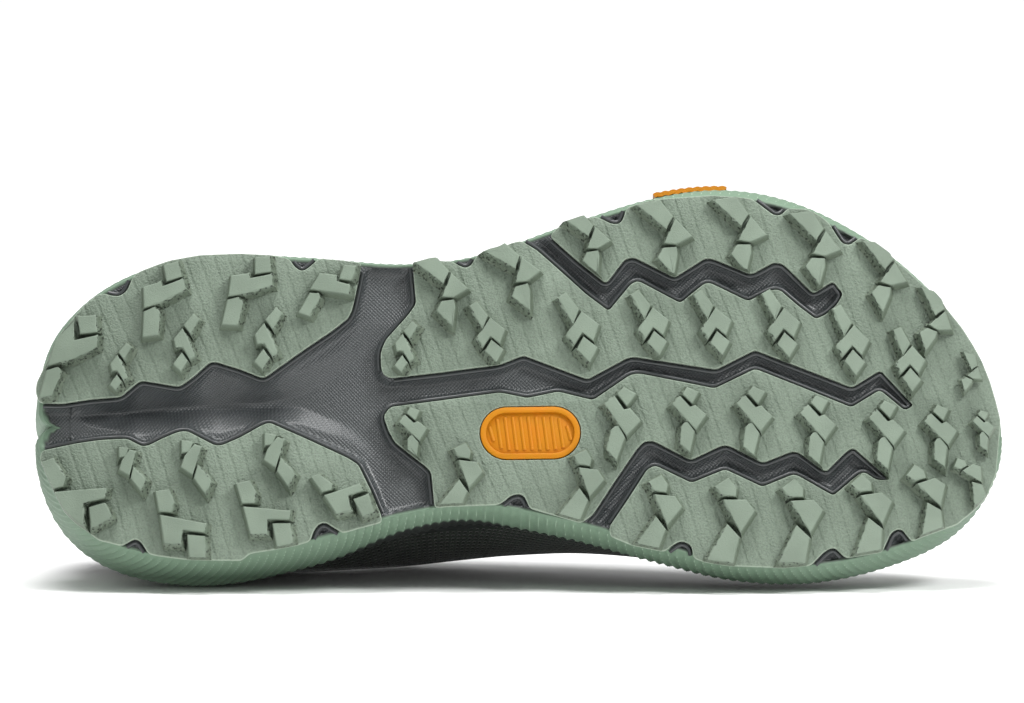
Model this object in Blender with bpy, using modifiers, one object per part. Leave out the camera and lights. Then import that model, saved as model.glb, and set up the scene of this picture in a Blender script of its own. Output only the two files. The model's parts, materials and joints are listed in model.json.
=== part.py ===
"""Trail running shoe for the right foot, empty, lying on its medial side.

The shoe is modelled standing: x runs from the heel to the toe, y to the medial side, z up.
An empty then turns it to the way it lies, with the sole's medial edge and the upper on the floor.
"""

import math
from collections import namedtuple

import bmesh
import bpy
from mathutils import Matrix, Vector
from mathutils.bvhtree import BVHTree

# Driving sizes, in metres
LENGTH = 0.300
BALL_WIDTH = 0.118
HEEL_STACK = 0.033
BALL_STACK = 0.027
TOE_STACK = 0.021
HEEL_HEIGHT = 0.067
INSTEP_HEIGHT = 0.073
HEEL_SIDEWALL = 0.045
BALL_SIDEWALL = 0.032
TOE_SIDEWALL = 0.0265
TOE_SPRING = 0.018
HEEL_BEVEL = 0.006
LUG_HEIGHT = 0.0045
LUG_LENGTH = 0.0235
SHEET_THICKNESS = 0.0015
CHANNEL_WIDTH = 0.0068
CHANNEL_DEPTH = 0.0026
GROOVE_DEPTH = 0.011
NOTCH_RADIUS = 0.0046
SIDEWALL_FLARE = 0.0034
HEEL_LEDGE = 0.0105
TOE_LEDGE = 0.0070
LIP_THICKNESS = 0.0026
LIP_GAP = 0.0010
RIB_PITCH = 0.0085
RIB_DEPTH = 0.0009
RIB_LEAN = 0.35
UPPER_WALL = 0.0024
COLLAR_PADDING = 0.0085
OVERLAY_THICKNESS = 0.0012
OVERLAY_GAP = 0.0006
INSOLE_THICKNESS = 0.0045
INSOLE_GAP = 0.0016
TONGUE_THICKNESS = 0.0045
TONGUE_LENGTH = 0.024
TONGUE_RISE = 0.010
TONGUE_TAPER = 0.16
EYELET_RADIUS = 0.0021
LACE_WIDTH = 0.0058
LACE_THICKNESS = 0.0018
LACE_CROWN = 0.09
TONGUE_CROWN = 0.10
INLAY_LENGTH = 0.031
INLAY_WIDTH = 0.0165
TAB_HEIGHT = 0.010
TAB_THICKNESS = 0.0014
CLEARANCE = 0.0003

# Where things lie, as shares of the length and of the ball width
HEEL_TIP_ACROSS = 0.060
TOE_TIP_ACROSS = 0.090
LAST_CENTRE = 0.020
BALL_ALONG = 0.62
HEEL_ALONG = 0.14
INLAY_ALONG = 0.511
INLAY_ACROSS = 0.107
TAB_TURNS = (0.612, 0.672)
EYELET_TURNS = (0.405, 0.480, 0.555, 0.630, 0.705)
EYELET_RISE = 0.925
RIM_GAP_SHARE = 0.35

LATERAL = -1
MEDIAL = 1

# The tread's edge on each side of the shoe, heel to toe
EdgeRow = namedtuple("EdgeRow", "along lateral medial")
TREAD_EDGE = (
    EdgeRow(0.012, -0.135, 0.215),
    EdgeRow(0.045, -0.250, 0.332),
    EdgeRow(0.100, -0.335, 0.407),
    EdgeRow(0.180, -0.384, 0.432),
    EdgeRow(0.280, -0.376, 0.390),
    EdgeRow(0.380, -0.357, 0.320),
    EdgeRow(0.460, -0.378, 0.298),
    EdgeRow(0.550, -0.452, 0.344),
    EdgeRow(0.640, -0.515, 0.412),
    EdgeRow(0.720, -0.534, 0.462),
    EdgeRow(0.800, -0.492, 0.467),
    EdgeRow(0.880, -0.390, 0.420),
    EdgeRow(0.945, -0.243, 0.342),
    EdgeRow(0.985, -0.075, 0.225),
)

# The sole's height, its side and the width of its ledge, heel to toe
SoleRow = namedtuple("SoleRow", "along stack sidewall ledge")
SOLE_HEIGHTS = (
    SoleRow(0.00, HEEL_STACK, HEEL_SIDEWALL, HEEL_LEDGE),
    SoleRow(0.22, HEEL_STACK, HEEL_SIDEWALL, HEEL_LEDGE),
    SoleRow(0.45, 0.4 * HEEL_STACK + 0.6 * BALL_STACK, 0.4 * HEEL_SIDEWALL + 0.6 * BALL_SIDEWALL,
            0.5 * HEEL_LEDGE + 0.5 * TOE_LEDGE),
    SoleRow(0.68, BALL_STACK, BALL_SIDEWALL, TOE_LEDGE),
    SoleRow(0.85, 0.5 * BALL_STACK + 0.5 * TOE_STACK, 0.7 * BALL_SIDEWALL + 0.3 * TOE_SIDEWALL, TOE_LEDGE),
    SoleRow(1.00, TOE_STACK, TOE_SIDEWALL, TOE_LEDGE),
)

# One row for each section of the upper, from the heel's back (turn 0) to the toe's tip (turn 1).
# The top line is placed by shares of the length, the ball width, and the heel and instep heights.
# slope is in degrees below level, and reach, rise and swell are shares of the instep height.
UpperRow = namedtuple("UpperRow", "turn along across heel instep slope reach rise swell")
UPPER_SECTIONS = (
    UpperRow(0.00, 0.030, 0.000, 1.00, 0.00, 80, 0.34, 0.30, 0.130),
    UpperRow(0.08, 0.043, 0.160, 0.99, 0.00, 82, 0.34, 0.29, 0.120),
    UpperRow(0.16, 0.115, 0.276, 0.90, 0.00, 84, 0.30, 0.27, 0.105),
    UpperRow(0.25, 0.220, 0.295, 0.76, 0.00, 82, 0.26, 0.26, 0.090),
    UpperRow(0.33, 0.312, 0.264, 0.45, 0.38, 76, 0.28, 0.26, 0.080),
    UpperRow(0.39, 0.367, 0.212, 0.00, 1.00, 62, 0.36, 0.28, 0.065),
    UpperRow(0.47, 0.440, 0.192, 0.00, 0.93, 50, 0.42, 0.28, 0.055),
    UpperRow(0.55, 0.510, 0.175, 0.00, 0.84, 42, 0.42, 0.26, 0.050),
    UpperRow(0.63, 0.573, 0.150, 0.00, 0.75, 36, 0.40, 0.24, 0.055),
    UpperRow(0.71, 0.622, 0.117, 0.00, 0.68, 31, 0.38, 0.24, 0.070),
    UpperRow(0.80, 0.652, 0.075, 0.00, 0.63, 27, 0.42, 0.25, 0.080),
    UpperRow(0.90, 0.667, 0.036, 0.00, 0.61, 22, 0.54, 0.28, 0.090),
    UpperRow(1.00, 0.672, 0.000, 0.00, 0.60, 18, 0.66, 0.31, 0.090),
)

# The zigzag inner edges of the two heel pods and the rear edge of the forefoot pod
Place = namedtuple("Place", "along across")
HEEL_LATERAL_INNER = (
    Place(0.008, 0.002), Place(0.087, -0.011), Place(0.107, -0.053), Place(0.146, -0.036),
    Place(0.183, -0.098), Place(0.237, -0.052), Place(0.325, -0.214),
)
HEEL_MEDIAL_INNER = (
    Place(0.012, 0.120), Place(0.087, 0.103), Place(0.111, 0.131), Place(0.152, 0.086),
    Place(0.187, 0.129), Place(0.240, 0.069), Place(0.330, 0.172),
)
FOREFOOT_REAR = (
    Place(0.395, -0.251), Place(0.360, -0.144), Place(0.354, -0.060), Place(0.361, 0.053),
    Place(0.373, 0.137), Place(0.407, 0.207),
)
HEEL_LATERAL_END = 0.337
HEEL_MEDIAL_END = 0.356
FOREFOOT_LATERAL_START = 0.393
FOREFOOT_MEDIAL_START = 0.410

# Centre lines of the channels through the forefoot pod, each with its width as a share of CHANNEL_WIDTH
ChannelPoint = namedtuple("ChannelPoint", "along across width")
CHANNELS = {
    "lateral": (
        ChannelPoint(0.500, -0.475, 1.15), ChannelPoint(0.522, -0.418, 1.05), ChannelPoint(0.592, -0.255, 1.0),
        ChannelPoint(0.622, -0.330, 1.0), ChannelPoint(0.664, -0.274, 1.0), ChannelPoint(0.698, -0.328, 1.0),
        ChannelPoint(0.742, -0.282, 1.0), ChannelPoint(0.769, -0.316, 1.0), ChannelPoint(0.809, -0.233, 1.0),
        ChannelPoint(0.834, -0.288, 0.8),
    ),
    "middle": (
        ChannelPoint(0.340, 0.000, 1.5), ChannelPoint(0.400, -0.022, 1.3), ChannelPoint(0.480, -0.044, 1.1),
        ChannelPoint(0.506, -0.047, 1.1), ChannelPoint(0.571, -0.009, 0.95), ChannelPoint(0.617, -0.068, 0.8),
        ChannelPoint(0.701, -0.037, 0.8), ChannelPoint(0.744, -0.085, 0.75), ChannelPoint(0.844, 0.009, 0.8),
        ChannelPoint(0.875, -0.038, 0.75), ChannelPoint(0.905, 0.026, 0.6),
    ),
    "medial": (
        ChannelPoint(0.560, 0.400, 1.05), ChannelPoint(0.577, 0.350, 1.0), ChannelPoint(0.635, 0.164, 1.0),
        ChannelPoint(0.677, 0.214, 1.0), ChannelPoint(0.713, 0.175, 1.0), ChannelPoint(0.746, 0.225, 1.0),
        ChannelPoint(0.785, 0.192, 1.0), ChannelPoint(0.819, 0.243, 1.0), ChannelPoint(0.849, 0.181, 0.95),
        ChannelPoint(0.880, 0.222, 0.7),
    ),
}

# The deep groove between the heel pods, open at the heel's back, with its width as a share of the ball width
GroovePoint = namedtuple("GroovePoint", "along across width depth")
HEEL_GROOVE = (
    GroovePoint(-0.060, 0.070, 0.150, 0.80), GroovePoint(0.030, 0.062, 0.115, 0.90),
    GroovePoint(0.087, 0.044, 0.105, 1.0), GroovePoint(0.110, 0.038, 0.165, 1.0),
    GroovePoint(0.148, 0.026, 0.110, 1.0), GroovePoint(0.185, 0.016, 0.205, 1.0),
    GroovePoint(0.238, 0.010, 0.110, 0.95), GroovePoint(0.300, -0.005, 0.250, 0.60),
    GroovePoint(0.345, -0.010, 0.300, 0.25),
)

# Each lug is three blocks parted by slits. Corners are shares of the lug's length, for a lateral lug.
LUG_BLOCKS = {
    "edge": (
        ((-0.40, -0.50), (-0.05, -0.48), (0.09, -0.25), (0.00, -0.10)),
        ((0.12, -0.22), (0.34, 0.02), (0.14, 0.12), (-0.03, 0.12)),
        ((-0.03, 0.16), (0.14, 0.15), (0.08, 0.49), (-0.13, 0.28)),
    ),
    "inner": (
        ((-0.32, -0.44), (-0.20, -0.51), (-0.02, -0.26), (-0.12, -0.06)),
        ((0.00, -0.24), (0.24, -0.05), (0.15, 0.18), (0.00, 0.06), (-0.12, 0.24), (-0.20, 0.10)),
        ((0.02, 0.10), (0.20, 0.27), (0.10, 0.49), (-0.09, 0.28)),
    ),
    "heel_edge": (
        ((0.08, -0.42), (0.27, -0.44), (0.28, -0.22), (0.08, -0.20)),
        ((-0.24, -0.19), (0.02, -0.17), (0.30, -0.20), (0.30, -0.04), (-0.06, 0.07), (-0.27, 0.09)),
        ((-0.28, 0.13), (-0.08, 0.14), (-0.16, 0.49), (-0.36, 0.47)),
    ),
    "heel_inner": (
        ((-0.01, -0.24), (0.13, -0.44), (0.20, -0.34), (0.12, -0.06)),
        ((-0.17, -0.07), (-0.03, -0.20), (0.17, 0.19), (0.08, 0.23), (-0.03, 0.08), (-0.14, 0.19)),
        ((-0.03, 0.13), (0.07, 0.24), (-0.05, 0.41), (-0.17, 0.31)),
    ),
}

# Every lug's place, its turn in degrees and its size; mirrored rows are the medial ones
LugRow = namedtuple("LugRow", "along across turn size")
HEEL_LATERAL_LUGS = {
    ("heel_edge", False): (
        LugRow(0.045, -0.140, -32, 0.90), LugRow(0.133, -0.265, -14, 0.95),
        LugRow(0.223, -0.288, 0, 1.0), LugRow(0.312, -0.288, 4, 0.86),
    ),
    ("heel_inner", False): (
        LugRow(0.090, -0.085, 0, 0.95), LugRow(0.157, -0.138, 0, 1.0), LugRow(0.240, -0.150, 0, 1.05),
    ),
}
HEEL_MEDIAL_LUGS = {
    ("heel_edge", True): (
        LugRow(0.050, 0.258, 30, 0.98), LugRow(0.147, 0.342, 10, 1.0),
        LugRow(0.237, 0.328, 0, 0.98), LugRow(0.318, 0.268, -12, 0.84),
    ),
    ("heel_inner", True): (
        LugRow(0.098, 0.190, 0, 0.92), LugRow(0.166, 0.196, 0, 1.0), LugRow(0.252, 0.180, 0, 1.05),
    ),
}
FOREFOOT_LUGS = {
    ("edge", False): (
        LugRow(0.425, -0.280, -8, 0.90), LugRow(0.502, -0.305, -2, 0.98), LugRow(0.577, -0.390, 2, 1.0),
        LugRow(0.656, -0.418, 0, 1.0), LugRow(0.734, -0.418, 4, 1.0), LugRow(0.811, -0.380, 14, 1.0),
        LugRow(0.880, -0.310, 30, 0.90), LugRow(0.931, -0.200, 44, 0.75), LugRow(0.966, -0.060, 60, 0.50),
    ),
    ("inner", False): (
        LugRow(0.384, -0.135, 6, 0.85), LugRow(0.472, -0.160, -2, 0.92), LugRow(0.566, -0.165, 2, 0.98),
        LugRow(0.640, -0.172, 0, 1.0), LugRow(0.706, -0.175, 0, 1.0), LugRow(0.775, -0.168, 4, 1.0),
        LugRow(0.846, -0.128, 8, 0.98), LugRow(0.905, -0.082, 14, 0.85),
    ),
    ("inner", True): (
        LugRow(0.392, 0.108, 10, 0.66), LugRow(0.606, 0.092, 0, 1.0), LugRow(0.676, 0.082, 0, 1.0),
        LugRow(0.743, 0.088, 0, 1.0), LugRow(0.811, 0.108, -2, 1.0), LugRow(0.882, 0.112, -4, 0.98),
        LugRow(0.938, 0.100, -14, 0.84), LugRow(0.981, 0.092, -40, 0.52),
    ),
    ("edge", True): (
        LugRow(0.438, 0.228, 8, 0.92), LugRow(0.564, 0.250, 2, 0.95), LugRow(0.645, 0.330, 0, 1.0),
        LugRow(0.713, 0.352, -2, 1.0), LugRow(0.786, 0.350, -6, 0.98), LugRow(0.857, 0.322, -12, 0.92),
        LugRow(0.917, 0.282, -26, 0.84), LugRow(0.964, 0.215, -46, 0.52),
    ),
}

# Rounded notches in the tread's edge, by their place along each side
HEEL_NOTCHES = {LATERAL: (0.086, 0.278), MEDIAL: (0.105, 0.296)}
FOREFOOT_NOTCHES = {LATERAL: (0.446, 0.601, 0.771, 0.842), MEDIAL: (0.496, 0.674, 0.819, 0.890)}

# How finely the solids are faceted
SOLE_STEPS = 84
UPPER_STEPS = 48
UPPER_ROWS = 8
HALF_CURVE_SAMPLES = 24
NOTCH_SIDES = 10
EYELET_SIDES = 6

GREEN = (0.250, 0.300, 0.215)
DEEP_GREEN = (0.035, 0.055, 0.040)
CHARCOAL = (0.050, 0.056, 0.060)
ORANGE = (0.520, 0.170, 0.020)
SAGE = (0.330, 0.380, 0.290)


def through_rows(rows, key, column, value):
    """Reads a column of a table at any value of its key column, on a smooth curve through the rows."""
    keys = [getattr(row, key) for row in rows]
    heights = [getattr(row, column) for row in rows]
    value = min(max(value, keys[0]), keys[-1])
    span = max(k for k in range(len(keys) - 1) if keys[k] <= value)

    def slope(k):
        before = max(k - 1, 0)
        after = min(k + 1, len(keys) - 1)
        return (heights[after] - heights[before]) / (keys[after] - keys[before])

    width = keys[span + 1] - keys[span]
    part = (value - keys[span]) / width
    return (heights[span] * (1 + 2 * part) * (1 - part) ** 2
            + slope(span) * width * part * (1 - part) ** 2
            + heights[span + 1] * part ** 2 * (3 - 2 * part)
            + slope(span + 1) * width * part ** 2 * (part - 1))


def place(along, across):
    """A point on the plan, from shares of the length and the ball width."""
    return Vector((along * LENGTH, across * BALL_WIDTH))


def ground(x):
    """Height of the tread's plane: flat under foot, bevelled at the heel and sprung at the toe."""
    along = x / LENGTH
    spring = max(0.0, (along - BALL_ALONG) / (1 - BALL_ALONG))
    bevel = max(0.0, (HEEL_ALONG - along) / HEEL_ALONG)
    return TOE_SPRING * spring ** 2 + HEEL_BEVEL * bevel ** 2


def sole_height(column, x):
    """A height or width of the sole at one place along it."""
    return through_rows(SOLE_HEIGHTS, "along", column, x / LENGTH)


def footbed(x):
    """Height of the sole's upper face."""
    return ground(x) + sole_height("stack", x)


def curve_side(points):
    """Samples one side of the tread's edge on a smooth curve: its points with their running lengths."""
    samples = []
    for k in range(1, len(points) - 2):
        before, start, end, after = points[k - 1:k + 3]
        for step in range(HALF_CURVE_SAMPLES):
            part = step / HALF_CURVE_SAMPLES
            samples.append(0.5 * (2 * start + (end - before) * part
                                  + (2 * before - 5 * start + 4 * end - after) * part ** 2
                                  + (3 * start - before - 3 * end + after) * part ** 3))
    samples.append(points[-2].copy())
    lengths = [0.0]
    for start, end in zip(samples, samples[1:]):
        lengths.append(lengths[-1] + (end - start).length)
    return samples, lengths


def tread_sides():
    """Both sides of the tread's edge, each from the heel's tip to the toe's tip."""
    lateral = [place(row.along, row.lateral) for row in TREAD_EDGE]
    medial = [place(row.along, row.medial) for row in TREAD_EDGE]
    heel = place(0, HEEL_TIP_ACROSS)
    toe = place(1, TOE_TIP_ACROSS)
    return {
        LATERAL: curve_side([medial[0], heel] + lateral + [toe, medial[-1]]),
        MEDIAL: curve_side([lateral[0], heel] + medial + [toe, lateral[-1]]),
    }


SIDES = tread_sides()


def side_of(turn):
    """The side of the shoe that a turn lies on, and the share of that side that it has run."""
    turn = turn % 2
    return (LATERAL, turn) if turn <= 1 else (MEDIAL, 2 - turn)


def edge_at(turn):
    """A point of the tread's edge and its outward direction. Turn runs heel 0, lateral, toe 1, medial, 2."""
    side, share = side_of(turn)
    samples, lengths = SIDES[side]
    wanted = share * lengths[-1]
    index = min(max(sum(1 for length in lengths if length < wanted) - 1, 0), len(samples) - 2)
    part = (wanted - lengths[index]) / (lengths[index + 1] - lengths[index])
    point = samples[index].lerp(samples[index + 1], part)
    before = samples[max(index - 1, 0)]
    after = samples[min(index + 2, len(samples) - 1)]
    along = (after - before).normalized()
    return point, Vector((-along.y, along.x)) * side


def turn_at(along, side):
    """The turn at which one side of the tread's edge reaches a place along the shoe."""
    samples, lengths = SIDES[side]
    index = next(k for k, point in enumerate(samples) if point.x >= along * LENGTH)
    share = lengths[index] / lengths[-1]
    return share if side == LATERAL else 2 - share


def ring(inset, count=SOLE_STEPS):
    """Points round the sole on the tread's edge, moved in by a function of their place along."""
    points = []
    for k in range(count):
        point, outward = edge_at(2 * k / count)
        points.append(point - outward * inset(point.x))
    return points


def ledge(x):
    return sole_height("ledge", x)


def upper_column(turn):
    """The four control points of the curve that the upper follows from the sole to its top line."""
    side, share = side_of(turn)
    row = {name: through_rows(UPPER_SECTIONS, "turn", name, share) for name in UpperRow._fields[1:]}
    edge, outward = edge_at(turn)
    outward = Vector((outward.x, outward.y, 0))
    foot_plan = edge - outward.xy * ledge(edge.x)
    foot = Vector((foot_plan.x, foot_plan.y, footbed(foot_plan.x) + CLEARANCE))
    top_plan = place(row["along"], LAST_CENTRE + side * row["across"])
    top = Vector((top_plan.x, top_plan.y, footbed(top_plan.x)))
    top.z += row["heel"] * HEEL_HEIGHT + row["instep"] * INSTEP_HEIGHT
    up = Vector((0, 0, 1))
    low = foot + (up * row["rise"] + outward * row["swell"]) * INSTEP_HEIGHT
    slope = math.radians(row["slope"])
    high = top + (outward * math.cos(slope) - up * math.sin(slope)) * row["reach"] * INSTEP_HEIGHT
    return foot, low, high, top


def upper_point(turn, rise):
    """A point of the upper's outer face. Rise runs from 0 at the sole to 1 at the top line."""
    foot, low, high, top = upper_column(turn)
    rest = 1 - rise
    return foot * rest ** 3 + low * 3 * rest ** 2 * rise + high * 3 * rest * rise ** 2 + top * rise ** 3


def upper_normal(turn, rise):
    """The upper's outward direction at a point."""
    step = 0.004
    low = max(rise - step, 0)
    high = min(rise + step, 1)
    across = upper_point(turn + step, rise) - upper_point(turn - step, rise)
    along = upper_point(turn, high) - upper_point(turn, low)
    return across.cross(along).normalized()


def off_upper(turn, rise, distance):
    """A point at a distance outside the upper's outer face."""
    return upper_point(turn, rise) + upper_normal(turn, rise) * distance


def rise_at_height(turn, height):
    """How far up its curve the upper reaches a height."""
    low = 0.0
    high = 0.6
    for _ in range(20):
        middle = (low + high) / 2
        if upper_point(turn, middle).z < height:
            low = middle
        else:
            high = middle
    return low


def sidewall_top(turn):
    """Height of the sidewall's upper edge."""
    x = edge_at(turn)[0].x
    return ground(x) + sole_height("sidewall", x)


parts = bpy.data.collections.new("trail_running_shoe")
cutters = bpy.data.collections.new("cutters")


def clear_scene():
    for item in list(bpy.data.objects):
        bpy.data.objects.remove(item)
    bpy.context.scene.collection.children.link(parts)
    bpy.context.scene.collection.children.link(cutters)


def material(name, colour, roughness, metallic=0.0):
    made = bpy.data.materials.new(name)
    made.use_nodes = True
    shader = made.node_tree.nodes["Principled BSDF"]
    shader.inputs["Base Color"].default_value = (*colour, 1)
    shader.inputs["Roughness"].default_value = roughness
    shader.inputs["Metallic"].default_value = metallic
    return made


def new_object(name, mesh, collection=parts):
    item = bpy.data.objects.new(name, mesh)
    collection.objects.link(item)
    if collection is cutters:
        item.hide_render = True
        item.display_type = "WIRE"
    return item


def finish(item, colour, roughness):
    """Gives a piece its material and smooth shading with sharp edges."""
    item.data.materials.clear()
    item.data.materials.append(material(item.name + "_finish", colour, roughness))
    item.data.shade_smooth()
    item.data.set_sharp_from_angle(angle=math.radians(35))
    return item


def mesh_from(name, points, faces):
    """A mesh whose faces all point out."""
    shape = bmesh.new()
    corners = [shape.verts.new(point) for point in points]
    for face in faces:
        shape.faces.new([corners[k] for k in face])
    bmesh.ops.recalc_face_normals(shape, faces=shape.faces)
    mesh = bpy.data.meshes.new(name)
    shape.to_mesh(mesh)
    shape.free()
    return mesh


def ladder(count):
    """Faces across a ring whose point 0 is the heel's tip and whose middle point is the toe's tip."""
    half = count // 2
    rungs = [(0, 1, count - 1)]
    rungs += [(k, k + 1, count - k - 1, count - k) for k in range(1, half - 1)]
    rungs.append((half - 1, half, half + 1))
    return rungs


def stacked_rings(name, rings, collection=parts):
    """A closed solid through rings from bottom to top, with both ends filled across the shoe."""
    count = len(rings[0])
    points = [point for one in rings for point in one]
    faces = list(ladder(count))
    last = (len(rings) - 1) * count
    faces += [tuple(last + k for k in face) for face in ladder(count)]
    for level in range(len(rings) - 1):
        low = level * count
        for k in range(count):
            after = (k + 1) % count
            faces.append((low + k, low + after, low + count + after, low + count + k))
    return new_object(name, mesh_from(name, points, faces), collection)


def swept(name, sections, collection=parts):
    """A closed solid through loops of equal count, with the first and last loop filled."""
    count = len(sections[0])
    points = [point for section in sections for point in section]
    faces = [tuple(range(count)), tuple(range(len(points) - count, len(points)))]
    for k in range(len(sections) - 1):
        base = k * count
        for j in range(count):
            after = (j + 1) % count
            faces.append((base + j, base + after, base + count + after, base + count + j))
    return new_object(name, mesh_from(name, points, faces), collection)


def open_grid(name, grid, closed=False):
    """An open surface through a grid of points, column by column."""
    rows = len(grid[0])
    points = [point for column in grid for point in column]
    faces = []
    for k in range(len(grid) if closed else len(grid) - 1):
        here = k * rows
        there = (k + 1) % len(grid) * rows
        faces += [(here + j, there + j, there + j + 1, here + j + 1) for j in range(rows - 1)]
    mesh = bpy.data.meshes.new(name)
    mesh.from_pydata(points, [], faces)
    return new_object(name, mesh)


def solidify(item, thickness, offset):
    wall = item.modifiers.new("wall", "SOLIDIFY")
    wall.thickness = thickness
    wall.offset = offset
    return wall


def boolean(item, operation, other):
    cut = item.modifiers.new(operation.lower(), "BOOLEAN")
    cut.operation = operation
    cut.object = other
    cut.solver = "EXACT"
    return cut


def applied(item):
    """Turns an object's evaluated form into its own mesh."""
    shape = item.evaluated_get(bpy.context.evaluated_depsgraph_get())
    mesh = bpy.data.meshes.new_from_object(shape)
    item.modifiers.clear()
    item.data = mesh
    return item


def prism(name, outline, low, high, collection=cutters):
    """An upright solid over a flat outline, made from a filled curve."""
    curve = bpy.data.curves.new(name, "CURVE")
    curve.dimensions = "2D"
    curve.fill_mode = "BOTH"
    curve.extrude = (high - low) / 2
    spline = curve.splines.new("POLY")
    spline.points.add(len(outline) - 1)
    for k, point in enumerate(outline):
        spline.points[k].co = (point[0], point[1], 0, 1)
    spline.use_cyclic_u = True
    source = new_object(name + "_outline", curve, cutters)
    mesh = bpy.data.meshes.new_from_object(source.evaluated_get(bpy.context.evaluated_depsgraph_get()))
    bpy.data.objects.remove(source)
    mesh.transform(Matrix.Translation((0, 0, (low + high) / 2)))
    shape = bmesh.new()
    shape.from_mesh(mesh)
    bmesh.ops.remove_doubles(shape, verts=shape.verts, dist=0.00001)
    bmesh.ops.recalc_face_normals(shape, faces=shape.faces)
    shape.to_mesh(mesh)
    shape.free()
    return new_object(name, mesh, collection)


def merge_flat_faces(item):
    """Joins the faces that cuts and unions have left side by side in one plane."""
    shape = bmesh.new()
    shape.from_mesh(item.data)
    bmesh.ops.dissolve_limit(shape, angle_limit=math.radians(0.2), verts=shape.verts, edges=shape.edges)
    shape.to_mesh(item.data)
    shape.free()


def cut_in_strips(item):
    """Cuts a flat sheet's faces across the shoe where it bends to the heel bevel and the toe spring."""
    shape = bmesh.new()
    shape.from_mesh(item.data)
    bends = [HEEL_ALONG * k / 3 for k in (1, 2, 3)] + [BALL_ALONG + (1 - BALL_ALONG) * k / 7 for k in range(7)]
    for along in bends:
        x = along * LENGTH
        everything = list(shape.verts) + list(shape.edges) + list(shape.faces)
        bmesh.ops.bisect_plane(shape, geom=everything, dist=0.00001, plane_co=(x, 0, 0), plane_no=(1, 0, 0))
    shape.to_mesh(item.data)
    shape.free()


def bend_to_ground(item):
    """Lifts a piece that was made flat to the heel bevel and the toe spring."""
    for corner in item.data.vertices:
        corner.co.z += ground(corner.co.x)


def joined(name, items):
    """One cutter from several closed shapes that stay apart."""
    shape = bmesh.new()
    for item in items:
        shape.from_mesh(item.data)
        bpy.data.objects.remove(item)
    mesh = bpy.data.meshes.new(name)
    shape.to_mesh(mesh)
    shape.free()
    return new_object(name, mesh, cutters)


def side_directions(points):
    """Unit directions to the left of a run of plan points, halved at its bends."""
    sides = []
    for k, point in enumerate(points):
        before = points[max(k - 1, 0)]
        after = points[min(k + 1, len(points) - 1)]
        ahead = ((after - point).normalized() + (point - before).normalized()).normalized()
        sides.append(Vector((-ahead.y, ahead.x)))
    return sides


def ribbon(points, widths):
    """The outline of a strip of changing width along a run of plan points."""
    sides = side_directions(points)
    left = [point + side * width / 2 for point, side, width in zip(points, sides, widths)]
    right = [point - side * width / 2 for point, side, width in zip(points, sides, widths)]
    return left + right[::-1]


def vee(name, points, widths, depths, low):
    """A cutter with a V section along a run of plan points, opening downwards."""
    sides = side_directions(points)
    spread = 1.25
    sections = []
    for point, side, width, depth in zip(points, sides, widths, depths):
        half = side * width * spread / 2
        below = low - depth * (spread - 1)
        left = point + half
        right = point - half
        sections.append([Vector((left.x, left.y, below)), Vector((right.x, right.y, below)),
                         Vector((point.x, point.y, low + depth))])
    return swept(name, sections, cutters)


def edge_run(start, end, inset=0.0, step=0.009):
    """Plan points along the tread's edge between two turns."""
    count = max(2, round(abs(end - start) * SIDES[LATERAL][1][-1] / step))
    points = []
    for k in range(count + 1):
        point, outward = edge_at(start + (end - start) * k / count)
        points.append(point - outward * inset)
    return points


def pod_outline(inner, start, end):
    """A pod's outline: along the tread's edge, then back along its inner edge."""
    return edge_run(start, end) + [place(*point) for point in inner]


def notch_cutters(notches):
    """Upright pins that round a notch out of the tread's edge at each place."""
    pins = []
    for side, places in notches.items():
        for along in places:
            centre = edge_at(turn_at(along, side))[0]
            shape = bmesh.new()
            bmesh.ops.create_cone(shape, cap_ends=True, segments=NOTCH_SIDES, radius1=NOTCH_RADIUS,
                                  radius2=NOTCH_RADIUS, depth=LUG_HEIGHT + 2 * SHEET_THICKNESS,
                                  matrix=Matrix.Translation((centre.x, centre.y, LUG_HEIGHT)))
            mesh = bpy.data.meshes.new("notch")
            shape.to_mesh(mesh)
            shape.free()
            pins.append(new_object("notch", mesh, cutters))
    return pins


def lug_blocks(rows_by_kind):
    """All the lugs of one pod as tapered blocks, standing a little into its sheet."""
    blocks = []
    for (kind, mirrored), rows in rows_by_kind.items():
        for row in rows:
            centre = place(row.along, row.across)
            turn = Matrix.Rotation(math.radians(row.turn), 2)
            for block in LUG_BLOCKS[kind]:
                corners = []
                for x, y in block:
                    corner = Vector((x, -y if mirrored else y)) * LUG_LENGTH * row.size
                    corners.append(centre + turn @ corner)
                blocks.append(tapered_block(corners))
    return joined("lugs", blocks)


def tapered_block(corners):
    """One block of a lug: narrower at the tread's plane than where it leaves the sheet."""
    taper = 0.88
    middle = sum(corners, Vector((0, 0))) / len(corners)
    top = [middle.lerp(corner, taper) for corner in corners]
    root = LUG_HEIGHT + SHEET_THICKNESS / 3
    sections = [[Vector((p.x, p.y, 0)) for p in top], [Vector((p.x, p.y, root)) for p in corners]]
    return swept("block", sections, cutters)


def channel_run(name):
    points = [place(point.along, point.across) for point in CHANNELS[name]]
    widths = [point.width * CHANNEL_WIDTH for point in CHANNELS[name]]
    return points, widths


def inlay_outline(grow=0.0):
    """The rounded bar of the inlay in the forefoot, on the plan."""
    radius = INLAY_WIDTH / 2 + grow
    half = INLAY_LENGTH / 2 - INLAY_WIDTH / 2
    centre = place(INLAY_ALONG, INLAY_ACROSS)
    outline = []
    for end in (1, -1):
        for k in range(7):
            angle = math.radians(-90 + 30 * k)
            outline.append(centre + end * Vector((half + radius * math.cos(angle), radius * math.sin(angle))))
    return outline


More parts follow.
